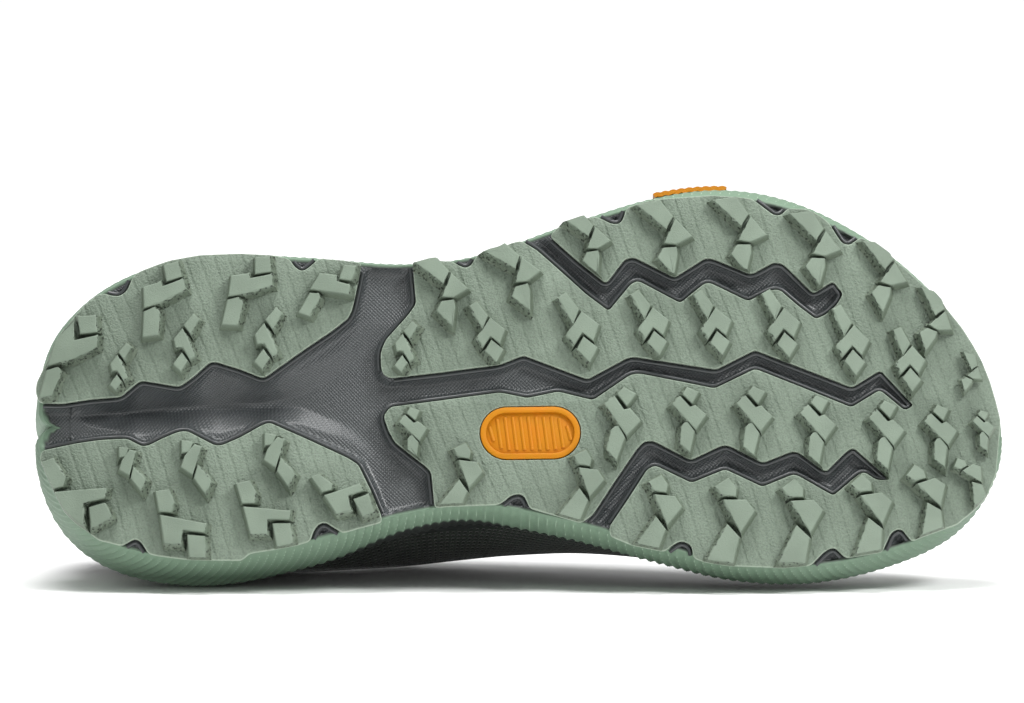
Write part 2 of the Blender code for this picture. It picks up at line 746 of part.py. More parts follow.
def outsole_pod(name, outline, lugs, cuts):
    """A rubber pod: a thin sheet with its lugs, cut by channels and notches, bent to the ground."""
    pod = prism(name, outline, LUG_HEIGHT, LUG_HEIGHT + SHEET_THICKNESS, parts)
    for cut in cuts:
        boolean(pod, "DIFFERENCE", cut)
        applied(pod)
    boolean(pod, "UNION", lug_blocks(lugs))
    applied(pod)
    merge_flat_faces(pod)
    cut_in_strips(pod)
    bend_to_ground(pod)
    return finish(pod, GREEN, 0.55)


def outsoles():
    """The three rubber pods of the tread."""
    outsole_pod("outsole_heel_lateral",
                pod_outline(HEEL_LATERAL_INNER[::-1], turn_at(0.006, LATERAL), turn_at(HEEL_LATERAL_END, LATERAL)),
                HEEL_LATERAL_LUGS, notch_cutters({LATERAL: HEEL_NOTCHES[LATERAL]}))
    outsole_pod("outsole_heel_medial",
                pod_outline(HEEL_MEDIAL_INNER[::-1], turn_at(0.008, MEDIAL), turn_at(HEEL_MEDIAL_END, MEDIAL)),
                HEEL_MEDIAL_LUGS, notch_cutters({MEDIAL: HEEL_NOTCHES[MEDIAL]}))
    low = LUG_HEIGHT - SHEET_THICKNESS
    high = LUG_HEIGHT + 2 * SHEET_THICKNESS
    cuts = notch_cutters(FOREFOOT_NOTCHES)
    for name in CHANNELS:
        cuts.append(prism(name, ribbon(*channel_run(name)), low, high))
    cuts.append(prism("inlay_pocket", inlay_outline(CLEARANCE), low, high))
    outsole_pod("outsole_forefoot",
                pod_outline(FOREFOOT_REAR[::-1], turn_at(FOREFOOT_LATERAL_START, LATERAL),
                            turn_at(FOREFOOT_MEDIAL_START, MEDIAL)),
                FOREFOOT_LUGS, cuts)


def sole_inlay():
    """The plain orange bar in the forefoot sheet."""
    low = LUG_HEIGHT + CLEARANCE
    item = prism("sole_inlay", inlay_outline(), low, LUG_HEIGHT + SHEET_THICKNESS, parts)
    return finish(item, ORANGE, 0.5)


def midsole_bottom():
    return LUG_HEIGHT + SHEET_THICKNESS + CLEARANCE


def midsole_core():
    """The dark foam inside the sole, with the heel groove and the channels in its underside."""
    low = midsole_bottom()
    outline = ring(lambda x: ledge(x) - CLEARANCE)
    bottom = [Vector((point.x, point.y, low)) for point in outline]
    top = [Vector((point.x, point.y, sole_height("stack", point.x))) for point in outline]
    core = stacked_rings("midsole_core", [bottom, top])
    groove = [place(point.along, point.across) for point in HEEL_GROOVE]
    cuts = [vee("heel_groove", groove, [point.width * BALL_WIDTH for point in HEEL_GROOVE],
                [point.depth * GROOVE_DEPTH for point in HEEL_GROOVE], low)]
    for name in CHANNELS:
        points, widths = channel_run(name)
        cuts.append(vee("channel_" + name, points, widths, [CHANNEL_DEPTH] * len(points), low))
    for cut in cuts:
        boolean(core, "DIFFERENCE", cut)
        applied(core)
    bend_to_ground(core)
    return finish(core, CHARCOAL, 0.6)


def rim_section(turn, rib):
    """The sidewall's section at one turn: its outer face flares out and then leans in to the upper."""
    edge, outward = edge_at(turn)
    low = ground(edge.x) + midsole_bottom()
    high = sidewall_top(turn)

    def outside(share, distance):
        """A point of the outer face at a share of the height; the ribs lean along the edge as they rise."""
        height = low + (high - low) * share
        point, out = edge_at(turn + RIB_LEAN * (height - low) / SIDES[LATERAL][1][-1])
        return Vector((*(point + out * distance), height))

    inner_foot = edge - outward * (ledge(edge.x) - LIP_GAP)
    rise = rise_at_height(turn, high)
    lip = off_upper(turn, rise, LIP_GAP)
    lip_out = off_upper(turn, rise, LIP_GAP + LIP_THICKNESS)
    return [
        Vector((inner_foot.x, inner_foot.y, low)),
        outside(0.0, -0.0004),
        outside(0.17, 0.55 * SIDEWALL_FLARE + rib),
        outside(0.42, SIDEWALL_FLARE + rib),
        outside(0.70, 0.72 * SIDEWALL_FLARE + rib),
        Vector((lip_out.x, lip_out.y, high)),
        Vector((lip.x, lip.y, high)),
        Vector((inner_foot.x, inner_foot.y, footbed(inner_foot.x))),
    ]


def midsole_rim():
    """The ribbed sidewall all round the sole, parted at the heel's centre by the groove."""
    gap = HEEL_GROOVE[0].width * BALL_WIDTH / 2 / SIDES[LATERAL][1][-1]
    start = RIM_GAP_SHARE * gap
    around = SIDES[LATERAL][1][-1] + SIDES[MEDIAL][1][-1]
    ribs = round(around / RIB_PITCH)
    sections = []
    for k in range(2 * ribs + 1):
        turn = start + (2 - 2 * start) * k / (2 * ribs)
        sections.append(rim_section(turn, RIB_DEPTH / 2 if k % 2 else -RIB_DEPTH / 2))
    return finish(swept("midsole_rim", sections), GREEN, 0.6)


def upper_grid():
    """The upper's outer face, column by column round the shoe."""
    return [[upper_point(2 * k / UPPER_STEPS, j / UPPER_ROWS) for j in range(UPPER_ROWS + 1)]
            for k in range(UPPER_STEPS)]


def eyelet_places():
    return [turn for one in EYELET_TURNS for turn in (one, 2 - one)]


def eyelet_cutters(name):
    """Pins through the upper and its eyestay where the lace passes."""
    pins = []
    for turn in eyelet_places():
        centre = upper_point(turn, EYELET_RISE)
        facing = upper_normal(turn, EYELET_RISE).to_track_quat("Z", "Y").to_matrix().to_4x4()
        shape = bmesh.new()
        bmesh.ops.create_cone(shape, cap_ends=True, segments=EYELET_SIDES, radius1=EYELET_RADIUS,
                              radius2=EYELET_RADIUS, depth=6 * UPPER_WALL,
                              matrix=Matrix.Translation(centre) @ facing)
        mesh = bpy.data.meshes.new(name)
        shape.to_mesh(mesh)
        shape.free()
        pins.append(new_object(name, mesh, cutters))
    return joined(name, pins)


def upper():
    """The hollow upper: one wall, thicker round the padded collar, open at the collar, throat and sole."""
    item = open_grid("upper", upper_grid(), closed=True)
    thin = UPPER_WALL / COLLAR_PADDING
    padding = item.vertex_groups.new(name="padding")
    for k in range(UPPER_STEPS):
        share = side_of(2 * k / UPPER_STEPS)[1]
        around = min(max((0.36 - share) / 0.10, 0), 1)
        for j in range(UPPER_ROWS + 1):
            up = min(max((j / UPPER_ROWS - 0.5) / 0.3, 0), 1)
            padding.add([k * (UPPER_ROWS + 1) + j], thin + (1 - thin) * around * up * 0.8, "REPLACE")
    wall = solidify(item, COLLAR_PADDING, -1)
    wall.vertex_group = "padding"
    applied(item)
    boolean(item, "DIFFERENCE", eyelet_cutters("upper_eyelets"))
    applied(item)
    return finish(item, DEEP_GREEN, 0.8)


def overlay(name, first, last, low, high):
    """A thin overlay on the upper between two of its columns and two edges, each a function of the turn."""
    grid = []
    for k in range(first, last + 1):
        turn = 2 * k / UPPER_STEPS
        bottom = low(turn)
        top = high(turn)
        grid.append([off_upper(turn, bottom + (top - bottom) * j / 3, OVERLAY_GAP) for j in range(4)])
    item = open_grid(name, grid)
    solidify(item, OVERLAY_THICKNESS, 1)
    return applied(item)


def above_sidewall(turn):
    """The rise just above the sidewall's lip."""
    return rise_at_height(turn, sidewall_top(turn) + 3 * CLEARANCE)


def toe_cap():
    item = overlay("toe_cap", 19, 29, above_sidewall, lambda turn: 0.50 - 6.0 * (turn - 1.0) ** 2)
    return finish(item, SAGE, 0.5)


def heel_counter():
    item = overlay("heel_counter", -5, 5, above_sidewall, lambda turn: 0.66 - 5.0 * turn ** 2)
    return finish(item, SAGE, 0.5)


def eyestay():
    """The band round the throat that carries the eyelets."""
    item = overlay("eyestay", 9, UPPER_STEPS - 9, lambda turn: 0.855, lambda turn: 0.985)
    boolean(item, "DIFFERENCE", eyelet_cutters("eyestay_eyelets"))
    applied(item)
    return finish(item, CHARCOAL, 0.6)


def tongue_section(turn, drop):
    """The tongue's section under the throat at one turn, from the lateral to the medial side."""
    lateral = [off_upper(turn, rise, -drop) for rise in (0.86, 0.93, 1.0)]
    medial = [off_upper(2 - turn, rise, -drop) for rise in (1.0, 0.93, 0.86)]
    start = lateral[-1]
    end = medial[0]
    crown = (start + end) / 2 + Vector((0, 0, TONGUE_CROWN * (end - start).length))
    middle = [start.lerp(crown, 0.55) + (crown - start) * 0.05, crown, end.lerp(crown, 0.55)]
    return lateral + middle + medial


def tongue():
    """The padded tongue under the throat, standing past the top eyelets."""
    turns = (0.90, 0.80, 0.71, 0.63, 0.55, 0.48, 0.43)
    drop = UPPER_WALL + 2.5 * CLEARANCE
    grid = [tongue_section(turn, drop) for turn in turns]
    last = grid[-1]
    crown = last[4]
    heading = (crown - grid[-2][4]).normalized()
    for k in (1, 2, 3):
        lift = heading * TONGUE_LENGTH * k / 3 + Vector((0, 0, TONGUE_RISE * (k / 3) ** 2))
        narrow = 1 - TONGUE_TAPER * (k / 3) ** 0.5
        grid.append([crown + (point - crown) * narrow + lift for point in last])
    item = open_grid("tongue", grid)
    solidify(item, TONGUE_THICKNESS, 1)
    shape = applied(item)
    return finish(shape, CHARCOAL, 0.85)


def insole():
    """The sock liner inside the upper."""
    outline = ring(lambda x: ledge(x) + UPPER_WALL + INSOLE_GAP, UPPER_STEPS)
    low = [Vector((p.x, p.y, footbed(p.x) + CLEARANCE)) for p in outline]
    high = [Vector((p.x, p.y, footbed(p.x) + CLEARANCE + INSOLE_THICKNESS)) for p in outline]
    return finish(stacked_rings("insole", [low, high]), CHARCOAL, 0.9)


def lace_bar(lateral_turn, medial_turn, extra):
    """One flat bar of lace: flat on the eyestay at both eyelets and arched over the tongue between them."""
    stand = OVERLAY_GAP + OVERLAY_THICKNESS + CLEARANCE + LACE_THICKNESS / 2 + extra
    shift = (medial_turn - lateral_turn) * 0.2
    lateral = ((lateral_turn, EYELET_RISE), (lateral_turn + shift, 1.0))
    medial = ((2 - medial_turn + shift, 1.0), (2 - medial_turn, EYELET_RISE))
    centres = [off_upper(turn, rise, stand) for turn, rise in lateral + medial]
    facings = [upper_normal(turn, rise) for turn, rise in lateral + medial]
    span = centres[2] - centres[1]
    centres.insert(2, (centres[1] + centres[2]) / 2 + Vector((0, 0, LACE_CROWN * span.length)))
    facings.insert(2, (facings[1] + facings[2]).normalized())
    sections = []
    for k, (centre, facing) in enumerate(zip(centres, facings)):
        ahead = centres[min(k + 1, 4)] - centres[max(k - 1, 0)]
        across = ahead.cross(facing).normalized() * LACE_WIDTH / 2
        up = across.cross(ahead).normalized() * LACE_THICKNESS / 2
        sections.append([centre - across - up, centre + across - up, centre + across + up, centre - across + up])
    return swept("lace_bar", sections, cutters)


def laces():
    """The lace's crossings over the tongue, joined where they cross and at the eyelets."""
    bars = [lace_bar(EYELET_TURNS[-1], EYELET_TURNS[-1], 0)]
    for low, high in zip(EYELET_TURNS, EYELET_TURNS[1:]):
        bars.append(lace_bar(low, high, 0))
        bars.append(lace_bar(high, low, CLEARANCE))
    item = bars[0]
    for bar in bars[1:]:
        boolean(item, "UNION", bar)
        applied(item)
        bpy.data.objects.remove(bar)
    cutters.objects.unlink(item)
    parts.objects.link(item)
    item.name = "lace"
    item.hide_render = False
    item.display_type = "TEXTURED"
    return finish(item, SAGE, 0.8)


def side_tab():
    """The orange tab on the lateral side, on the crests of the sidewall."""
    grid = []
    for k in range(7):
        turn = TAB_TURNS[0] + (TAB_TURNS[1] - TAB_TURNS[0]) * k / 6
        edge, outward = edge_at(turn)
        low = ground(edge.x) + midsole_bottom()
        middle = low + 0.42 * (sidewall_top(turn) - low)
        column = []
        for j in range(4):
            height = middle + TAB_HEIGHT * (j / 3 - 0.35)
            plan = edge + outward * (SIDEWALL_FLARE + RIB_DEPTH / 2 + 2 * CLEARANCE)
            column.append(Vector((plan.x, plan.y, height)))
        grid.append(column)
    item = open_grid("side_tab", grid)
    solidify(item, TAB_THICKNESS, 1)
    return finish(applied(item), ORANGE, 0.6)


def resting_turn(pieces):
    """The turn that lays the shoe down: its hull's medial facet that holds the weight becomes the base."""
    hull = bmesh.new()
    weight = 0.0
    centre = Vector()
    for item in pieces:
        shape = bmesh.new()
        shape.from_mesh(item.data)
        bmesh.ops.triangulate(shape, faces=shape.faces)
        for face in shape.faces:
            a, b, c = [corner.co for corner in face.verts]
            volume = a.dot(b.cross(c)) / 6
            weight += volume
            centre += (a + b + c) / 4 * volume
        shape.free()
        for corner in item.data.vertices:
            hull.verts.new(corner.co)
    centre /= weight
    shell = bmesh.ops.convex_hull(hull, input=hull.verts)
    loose = [item for item in shell["geom_interior"] if isinstance(item, bmesh.types.BMVert)]
    bmesh.ops.delete(hull, geom=loose, context="VERTS")
    bmesh.ops.recalc_face_normals(hull, faces=hull.faces)
    tree = BVHTree.FromBMesh(hull)
    down = Vector((0, 1, 0))
    for _ in range(12):
        down = tree.ray_cast(centre, down)[1].normalized()
        if down.dot(Vector((0, 1, 0))) < 0:
            down = -down
    hull.free()
    ahead = (Vector((1, 0, 0)) - down * down.x).normalized()
    away = ahead.cross(down)
    return Matrix((ahead, away, -down)).to_4x4()


def lay_down():
    """Parents every piece to one empty that lays the shoe on its medial side over the origin."""
    pieces = list(parts.objects)
    turn = resting_turn(pieces)
    corners = [turn @ corner.co for item in pieces for corner in item.data.vertices]
    low = Vector(min(corner[axis] for corner in corners) for axis in range(3))
    high = Vector(max(corner[axis] for corner in corners) for axis in range(3))
    rest = bpy.data.objects.new("shoe_rest", None)
    parts.objects.link(rest)
    rest.rotation_euler = turn.to_euler()
    rest.location = (-(low.x + high.x) / 2, -(low.y + high.y) / 2, -low.z)
    for item in pieces:
        item.parent = rest


clear_scene()
upper()
tongue()
insole()
midsole_core()
midsole_rim()
outsoles()
sole_inlay()
side_tab()
toe_cap()
heel_counter()
eyestay()
laces()
for cutter in list(cutters.objects):
    bpy.data.objects.remove(cutter)
lay_down()
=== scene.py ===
"""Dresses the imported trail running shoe: its rubber, foam, upper and laces, with a floor, light and camera.

Pieces are modelled on the standing shoe: x runs from the heel to the toe, y to the medial side, z up.
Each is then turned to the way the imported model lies, on its medial side.
"""

import bisect
import contextlib
import functools
import json
import math
from collections import namedtuple

import bmesh
import bpy
import numpy as np
from mathutils import Matrix, Vector


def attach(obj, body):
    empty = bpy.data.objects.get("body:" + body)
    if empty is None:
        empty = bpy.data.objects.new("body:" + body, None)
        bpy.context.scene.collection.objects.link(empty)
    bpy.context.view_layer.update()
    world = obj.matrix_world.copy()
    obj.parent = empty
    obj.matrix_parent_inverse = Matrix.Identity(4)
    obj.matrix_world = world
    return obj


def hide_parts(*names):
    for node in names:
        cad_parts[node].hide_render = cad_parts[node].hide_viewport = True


bl_info = {
    "name": "Trail Running Shoe",
    "version": (1, 0, 0),
    "blender": (4, 5, 0),
    "location": "View3D > Sidebar > Shoe",
    "description": "Dresses a packed trail running shoe and lights it from below its sole",
    "category": "Object",
}

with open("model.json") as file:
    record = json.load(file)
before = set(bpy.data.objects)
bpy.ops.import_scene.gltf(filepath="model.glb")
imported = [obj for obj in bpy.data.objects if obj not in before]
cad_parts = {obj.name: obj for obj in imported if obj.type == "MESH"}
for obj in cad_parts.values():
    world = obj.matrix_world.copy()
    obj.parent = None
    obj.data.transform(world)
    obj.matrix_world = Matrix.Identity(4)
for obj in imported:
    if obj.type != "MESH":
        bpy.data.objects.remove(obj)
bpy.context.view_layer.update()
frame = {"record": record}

# Driving sizes of the shoe, in metres
LENGTH = 0.300
BALL_WIDTH = 0.118
HEEL_STACK = 0.033
BALL_STACK = 0.027
TOE_STACK = 0.021
HEEL_HEIGHT = 0.067
INSTEP_HEIGHT = 0.073
HEEL_SIDEWALL = 0.045
BALL_SIDEWALL = 0.032
TOE_SIDEWALL = 0.0265
TOE_SPRING = 0.018
HEEL_BEVEL = 0.006
LUG_HEIGHT = 0.0045
SHEET_THICKNESS = 0.0015
GROOVE_DEPTH = 0.0080
SIDEWALL_FLARE = 0.0034
HEEL_LEDGE = 0.0105
TOE_LEDGE = 0.0070
LIP_THICKNESS = 0.0026
LIP_GAP = 0.0010
UPPER_WALL = 0.0024
COLLAR_PADDING = 0.0085
OVERLAY_THICKNESS = 0.0012
OVERLAY_GAP = 0.0006
INSOLE_THICKNESS = 0.0045
INSOLE_GAP = 0.0016
TONGUE_THICKNESS = 0.0045
TONGUE_LENGTH = 0.024
TONGUE_RISE = 0.010
TONGUE_TAPER = 0.16
TONGUE_CROWN = 0.10
EYELET_RADIUS = 0.0021
LACE_WIDTH = 0.0058
LACE_THICKNESS = 0.0014
INLAY_LENGTH = 0.031
INLAY_WIDTH = 0.0165
TAB_HEIGHT = 0.010
TAB_THICKNESS = 0.0014
CLEARANCE = 0.0003

# Where things lie, as shares of the length and of the ball width
HEEL_TIP_ACROSS = 0.060
TOE_TIP_ACROSS = 0.090
LAST_CENTRE = 0.020
BALL_ALONG = 0.62
HEEL_ALONG = 0.14
INLAY_ALONG = 0.511
INLAY_ACROSS = 0.107
TAB_TURNS = (0.612, 0.672)
EYELET_TURNS = (0.405, 0.480, 0.555, 0.630, 0.705)
EYELET_RISE = 0.925

LATERAL = -1
MEDIAL = 1

# Fine lengths of the rubber's and the foam's shapes, in metres
POD_CORNER = 0.0012
BEAD_CORNER = 0.0016
SHEET_MERGE = 0.000005
TUBE_MERGE = 0.000002
STRIP = 0.004
SLIT_REACHES = (0.0006, 0.0012, 0.0018)
BLOCK_LEVELS = (0.00015, 0.0, 0.00040)
LUG_SINK = 0.0005
BEAD_FADE = 0.0012
RIM_TUCK = 0.0004
HEEL_NOTCH = 0.005
LOBE_LENGTH = 0.0055
INLAY_BORDER = 0.0018
INLAY_RIB_PITCH = 0.0024
INLAY_RIB_RADIUS = 0.0006
TAB_RIB = 0.00035

# Where a lug's side is pitted, and how its corners are kept short
HEEL_PITTED = Vector((1, 0.3))
FOREFOOT_PITTED = Vector((-1, 0.35))
PITTED_LEAN = 0.25
STRAIGHT = 0.05
LONGEST_CORNER = 1.25

# The pitch of each cloth and of the rubber's pits, in metres
PIT_PITCH = 0.0011
WEAVE_PITCH = 0.00118
MESH_PITCH = 0.0021
KNIT_PITCH = 0.0013
LACE_PITCH = 0.0011

# One ring of a lug's points: how far down and out it lies, its share of the side's lean, its knobs and its shade
LugRing = namedtuple("LugRing", "down grow lean knob shade")

# How finely the larger forms are divided
CORE_COLUMNS = 430
CORE_ROWS = 150
UNDER_STEPS = 9
FACE_STEPS = 14
COLUMNS_TO_A_RIB = 5
UPPER_COLUMNS = 240
UPPER_ROWS = 44
LACE_SIDES = 14
INSOLE_POINTS = 160

# Where the upper's overlays and seams run, in turns and rises
TOE_CAP_TURNS = (19 / 24, 29 / 24)
HEEL_COUNTER_TURNS = (-5 / 24, 5 / 24)
EYESTAY_TURNS = (9 / 24, 39 / 24)
EYESTAY_RISES = (0.855, 0.985)
EYESTAY_SEAM_TURNS = (0.385, 1.615)
COLLAR_SEAM_TURNS = (-0.36, 0.36)
TONGUE_TURNS = (0.90, 0.80, 0.71, 0.63, 0.55, 0.48, 0.43)
TONGUE_RISES = (0.86, 0.93, 1.0)

# Lengths of the lace's run, in metres
LACE_OVER = OVERLAY_GAP + OVERLAY_THICKNESS + LACE_THICKNESS / 2 + 0.0004
LACE_UNDER = -(UPPER_WALL + LACE_THICKNESS / 2 + 0.0002)
FRONT_BAR_RISE = 0.0025

# The camera's lens in millimetres, its rise in degrees, and the lights' places, sizes and power
LENS = 400
SENSOR = 36
CAMERA_RISE = math.radians(4)
LightRow = namedtuple("LightRow", "name where size power")
LIGHTS = (
    LightRow("key_light", Vector((0.8, -0.65, 1.0)), 0.40, 13),
    LightRow("top_light", Vector((-0.12, -0.10, 1.3)), 0.8, 20),
)
LIT_SPOT = Vector((0, 0, 0.05))
WORLD_STRENGTH = 0.50
FLOOR_SIZE = 120

# The floor glows from the first distance on, fully past the second, so that it is as white as the photograph's
GLOW_REACH = (0.35, 1.6)
GLOW = 0.55

# The photograph's scale and lean: the tread's tips and middle line in its pixels
PHOTO_HEEL = 35
PHOTO_TOE = 1003
PHOTO_MIDDLE = 390
PHOTO_SIZE = (1024, 703)
VIEW_LEAN = math.radians(13)
PIXEL = LENGTH / (PHOTO_TOE - PHOTO_HEEL)

# The tread's edge on each side of the shoe, heel to toe
EdgeRow = namedtuple("EdgeRow", "along lateral medial")
TREAD_EDGE = (
    EdgeRow(0.012, -0.135, 0.215),
    EdgeRow(0.045, -0.250, 0.332),
    EdgeRow(0.100, -0.335, 0.407),
    EdgeRow(0.180, -0.384, 0.432),
    EdgeRow(0.280, -0.376, 0.390),
    EdgeRow(0.380, -0.357, 0.320),
    EdgeRow(0.460, -0.378, 0.298),
    EdgeRow(0.550, -0.452, 0.344),
    EdgeRow(0.640, -0.515, 0.412),
    EdgeRow(0.720, -0.534, 0.462),
    EdgeRow(0.800, -0.492, 0.467),
    EdgeRow(0.880, -0.390, 0.420),
    EdgeRow(0.945, -0.243, 0.342),
    EdgeRow(0.985, -0.075, 0.225),
)

# The sole's height, its side and the width of its ledge, heel to toe
SoleRow = namedtuple("SoleRow", "along stack sidewall ledge")
SOLE_HEIGHTS = (
    SoleRow(0.00, HEEL_STACK, HEEL_SIDEWALL, HEEL_LEDGE),
    SoleRow(0.22, HEEL_STACK, HEEL_SIDEWALL, HEEL_LEDGE),
    SoleRow(0.45, 0.4 * HEEL_STACK + 0.6 * BALL_STACK, 0.4 * HEEL_SIDEWALL + 0.6 * BALL_SIDEWALL,
            0.5 * HEEL_LEDGE + 0.5 * TOE_LEDGE),
    SoleRow(0.68, BALL_STACK, BALL_SIDEWALL, TOE_LEDGE),
    SoleRow(0.85, 0.5 * BALL_STACK + 0.5 * TOE_STACK, 0.7 * BALL_SIDEWALL + 0.3 * TOE_SIDEWALL, TOE_LEDGE),
    SoleRow(1.00, TOE_STACK, TOE_SIDEWALL, TOE_LEDGE),
)

# How far the sidewall bulges on each side, as shares of its flare, and how much of that is left near its top
FlareRow = namedtuple("FlareRow", "along lateral medial crown")
RIM_FLARE = (
    FlareRow(0.00, 0.35, 0.35, 0.9),
    FlareRow(0.06, 0.80, 0.75, 0.8),
    FlareRow(0.20, 1.00, 0.84, 0.7),
    FlareRow(0.46, 0.55, 0.50, 0.7),
    FlareRow(0.75, 1.15, 0.65, 0.3),
    FlareRow(0.90, 0.50, 0.60, 0.2),
    FlareRow(1.00, 0.10, 0.10, 0.2),
)

# One row for each section of the upper, from the heel's back (turn 0) to the toe's tip (turn 1)
UpperRow = namedtuple("UpperRow", "turn along across heel instep slope reach rise swell")
UPPER_SECTIONS = (
    UpperRow(0.00, 0.030, 0.000, 1.00, 0.00, 80, 0.34, 0.30, 0.130),
    UpperRow(0.08, 0.043, 0.160, 0.99, 0.00, 82, 0.34, 0.29, 0.120),
    UpperRow(0.16, 0.115, 0.276, 0.90, 0.00, 84, 0.30, 0.27, 0.105),
    UpperRow(0.25, 0.220, 0.295, 0.76, 0.00, 82, 0.26, 0.26, 0.090),
    UpperRow(0.33, 0.312, 0.264, 0.45, 0.38, 76, 0.28, 0.26, 0.080),
    UpperRow(0.39, 0.367, 0.212, 0.00, 1.00, 62, 0.36, 0.28, 0.065),
    UpperRow(0.47, 0.440, 0.192, 0.00, 0.93, 50, 0.42, 0.28, 0.055),
    UpperRow(0.55, 0.510, 0.175, 0.00, 0.84, 42, 0.42, 0.26, 0.050),
    UpperRow(0.63, 0.573, 0.150, 0.00, 0.75, 36, 0.40, 0.24, 0.055),
    UpperRow(0.71, 0.622, 0.117, 0.00, 0.68, 31, 0.38, 0.24, 0.070),
    UpperRow(0.80, 0.652, 0.075, 0.00, 0.63, 27, 0.42, 0.25, 0.080),
    UpperRow(0.90, 0.667, 0.036, 0.00, 0.61, 22, 0.54, 0.28, 0.090),
    UpperRow(1.00, 0.672, 0.000, 0.00, 0.60, 18, 0.66, 0.31, 0.090),
)

# Edges of the rubber pods in the photograph's pixels, named for the stretch that each runs along
PIXELS = {
    "heel_lateral_rim": (
        (34, 386), (35, 376), (43, 360), (50, 345), (58, 328), (68, 317), (76, 307), (86, 297), (96, 289),
        (103, 287), (113, 290), (120, 290), (127, 285), (133, 271), (139, 266), (155, 260), (170, 255),
        (200, 250), (240, 249), (272, 251), (290, 255), (296, 264), (303, 268), (310, 264), (320, 255),
        (341, 257), (362, 260),
    ),
    "heel_lateral_zigzag": (
        (362, 265), (357, 289), (353, 306), (349, 315), (332, 328), (300, 349), (267, 372), (262, 374),
        (240, 365), (215, 357), (209, 358), (193, 372), (180, 381), (175, 381), (142, 375), (137, 377),
        (120, 391), (90, 393), (62, 397), (38, 396),
    ),
    "heel_medial_zigzag": (
        (40, 444), (76, 437), (99, 434), (126, 433), (141, 441), (148, 440), (160, 434), (177, 427),
        (186, 426), (214, 441), (221, 441), (240, 433), (262, 421), (269, 419), (304, 435), (346, 455),
        (357, 462), (369, 487), (380, 514),
    ),
    "heel_medial_rim": (
        (380, 520), (360, 525), (341, 530), (324, 519), (318, 520), (313, 525), (308, 538), (293, 542),
        (276, 545), (248, 549), (240, 556), (201, 555), (183, 554), (155, 550), (147, 548), (139, 535),
        (133, 533), (129, 535), (120, 540), (110, 537), (97, 534), (86, 525), (75, 518), (62, 505),
        (50, 481), (43, 465), (38, 453),
    ),
    "waist_lateral": ((383, 372), (381, 365), (381, 350), (386, 338), (409, 313), (417, 302), (416, 289), (414, 262)),
    "lateral_rim_rear": (
        (418, 260), (439, 259), (454, 260), (460, 264), (467, 267), (473, 264), (478, 255), (485, 252),
        (501, 249), (511, 243),
    ),
    "upper_channel_below": (
        (523, 240), (539, 250), (562, 271), (588, 295), (610, 312), (633, 285), (640, 282), (682, 305),
        (706, 286), (712, 285), (750, 304), (774, 293), (782, 293), (800, 309), (818, 323), (829, 318),
        (840, 308),
    ),
    "upper_channel_above": (
        (846, 298), (836, 285), (816, 297), (786, 267), (777, 265), (754, 277), (716, 261), (708, 260),
        (677, 279), (636, 258), (627, 260), (608, 284), (576, 258), (552, 236),
    ),
    "lateral_rim_front": (
        (560, 227), (585, 219), (599, 217), (606, 220), (613, 224), (620, 225), (625, 222), (630, 208),
        (650, 202), (664, 200), (714, 197), (742, 199), (756, 201), (770, 212), (778, 218), (785, 218),
        (792, 211), (811, 212), (823, 218), (833, 226), (840, 238), (846, 247), (853, 249), (858, 246),
        (865, 241), (874, 246), (893, 260), (909, 273), (926, 289), (939, 301), (952, 316), (966, 334),
        (977, 352), (985, 367), (993, 388), (999, 410), (1003, 428), (1000, 455), (997, 481), (987, 504),
        (974, 517), (956, 531),
    ),
    "medial_rim_front": (
        (920, 543), (910, 547), (901, 535), (896, 534), (889, 538), (880, 557), (851, 561), (843, 562),
        (833, 552), (828, 552), (821, 556), (808, 569), (780, 571), (725, 568), (702, 564), (691, 560),
        (689, 547), (682, 543), (676, 543), (670, 547), (662, 553), (652, 551), (629, 546), (608, 537),
    ),
    "lower_channel_below": (
        (607, 528), (626, 501), (646, 471), (654, 467), (690, 485), (724, 472), (761, 490), (792, 478),
        (798, 480), (832, 500), (858, 479), (864, 477), (876, 485),
    ),
    "lower_channel_above": (
        (890, 485), (853, 452), (846, 456), (825, 476), (798, 456), (791, 455), (762, 466), (728, 448),
        (721, 448), (690, 462), (652, 442), (643, 443), (636, 450), (610, 487), (591, 515), (583, 521),
    ),
    "medial_rim_rear": (
        (578, 523), (555, 516), (528, 508), (525, 500), (522, 495), (517, 493), (509, 495), (503, 500),
        (497, 504), (450, 505),
    ),
    "waist_medial": ((433, 506), (430, 470), (424, 464), (394, 440), (388, 429), (383, 414)),
    "middle_channel_below": (
        (390, 405), (442, 399), (500, 392), (527, 398), (558, 392), (593, 401), (631, 376), (640, 375),
        (715, 391), (756, 372), (852, 412), (881, 395), (906, 416),
    ),
    "middle_channel_above": (
        (915, 411), (882, 375), (853, 392), (756, 353), (717, 372), (635, 358), (628, 359), (588, 380),
        (524, 355), (500, 364), (440, 371), (390, 376),
    ),
}
PODS = {
    "outsole_heel_lateral": ("heel_lateral_rim", "heel_lateral_zigzag"),
    "outsole_heel_medial": ("heel_medial_zigzag", "heel_medial_rim"),
    "outsole_forefoot": (
        "waist_lateral", "lateral_rim_rear", "upper_channel_below", "upper_channel_above", "lateral_rim_front",
        "medial_rim_front", "lower_channel_below", "lower_channel_above", "medial_rim_rear", "waist_medial",
        "middle_channel_below", "middle_channel_above",
    ),
}

# The foam's bead follows these stretches, each joined end to end
BEADS = (
    ("heel_lateral_zigzag",),
    ("heel_medial_zigzag",),
    ("waist_lateral",),
    ("waist_medial", "middle_channel_below", "middle_channel_above"),
    ("upper_channel_below", "upper_channel_above"),
    ("lower_channel_below", "lower_channel_above"),
)

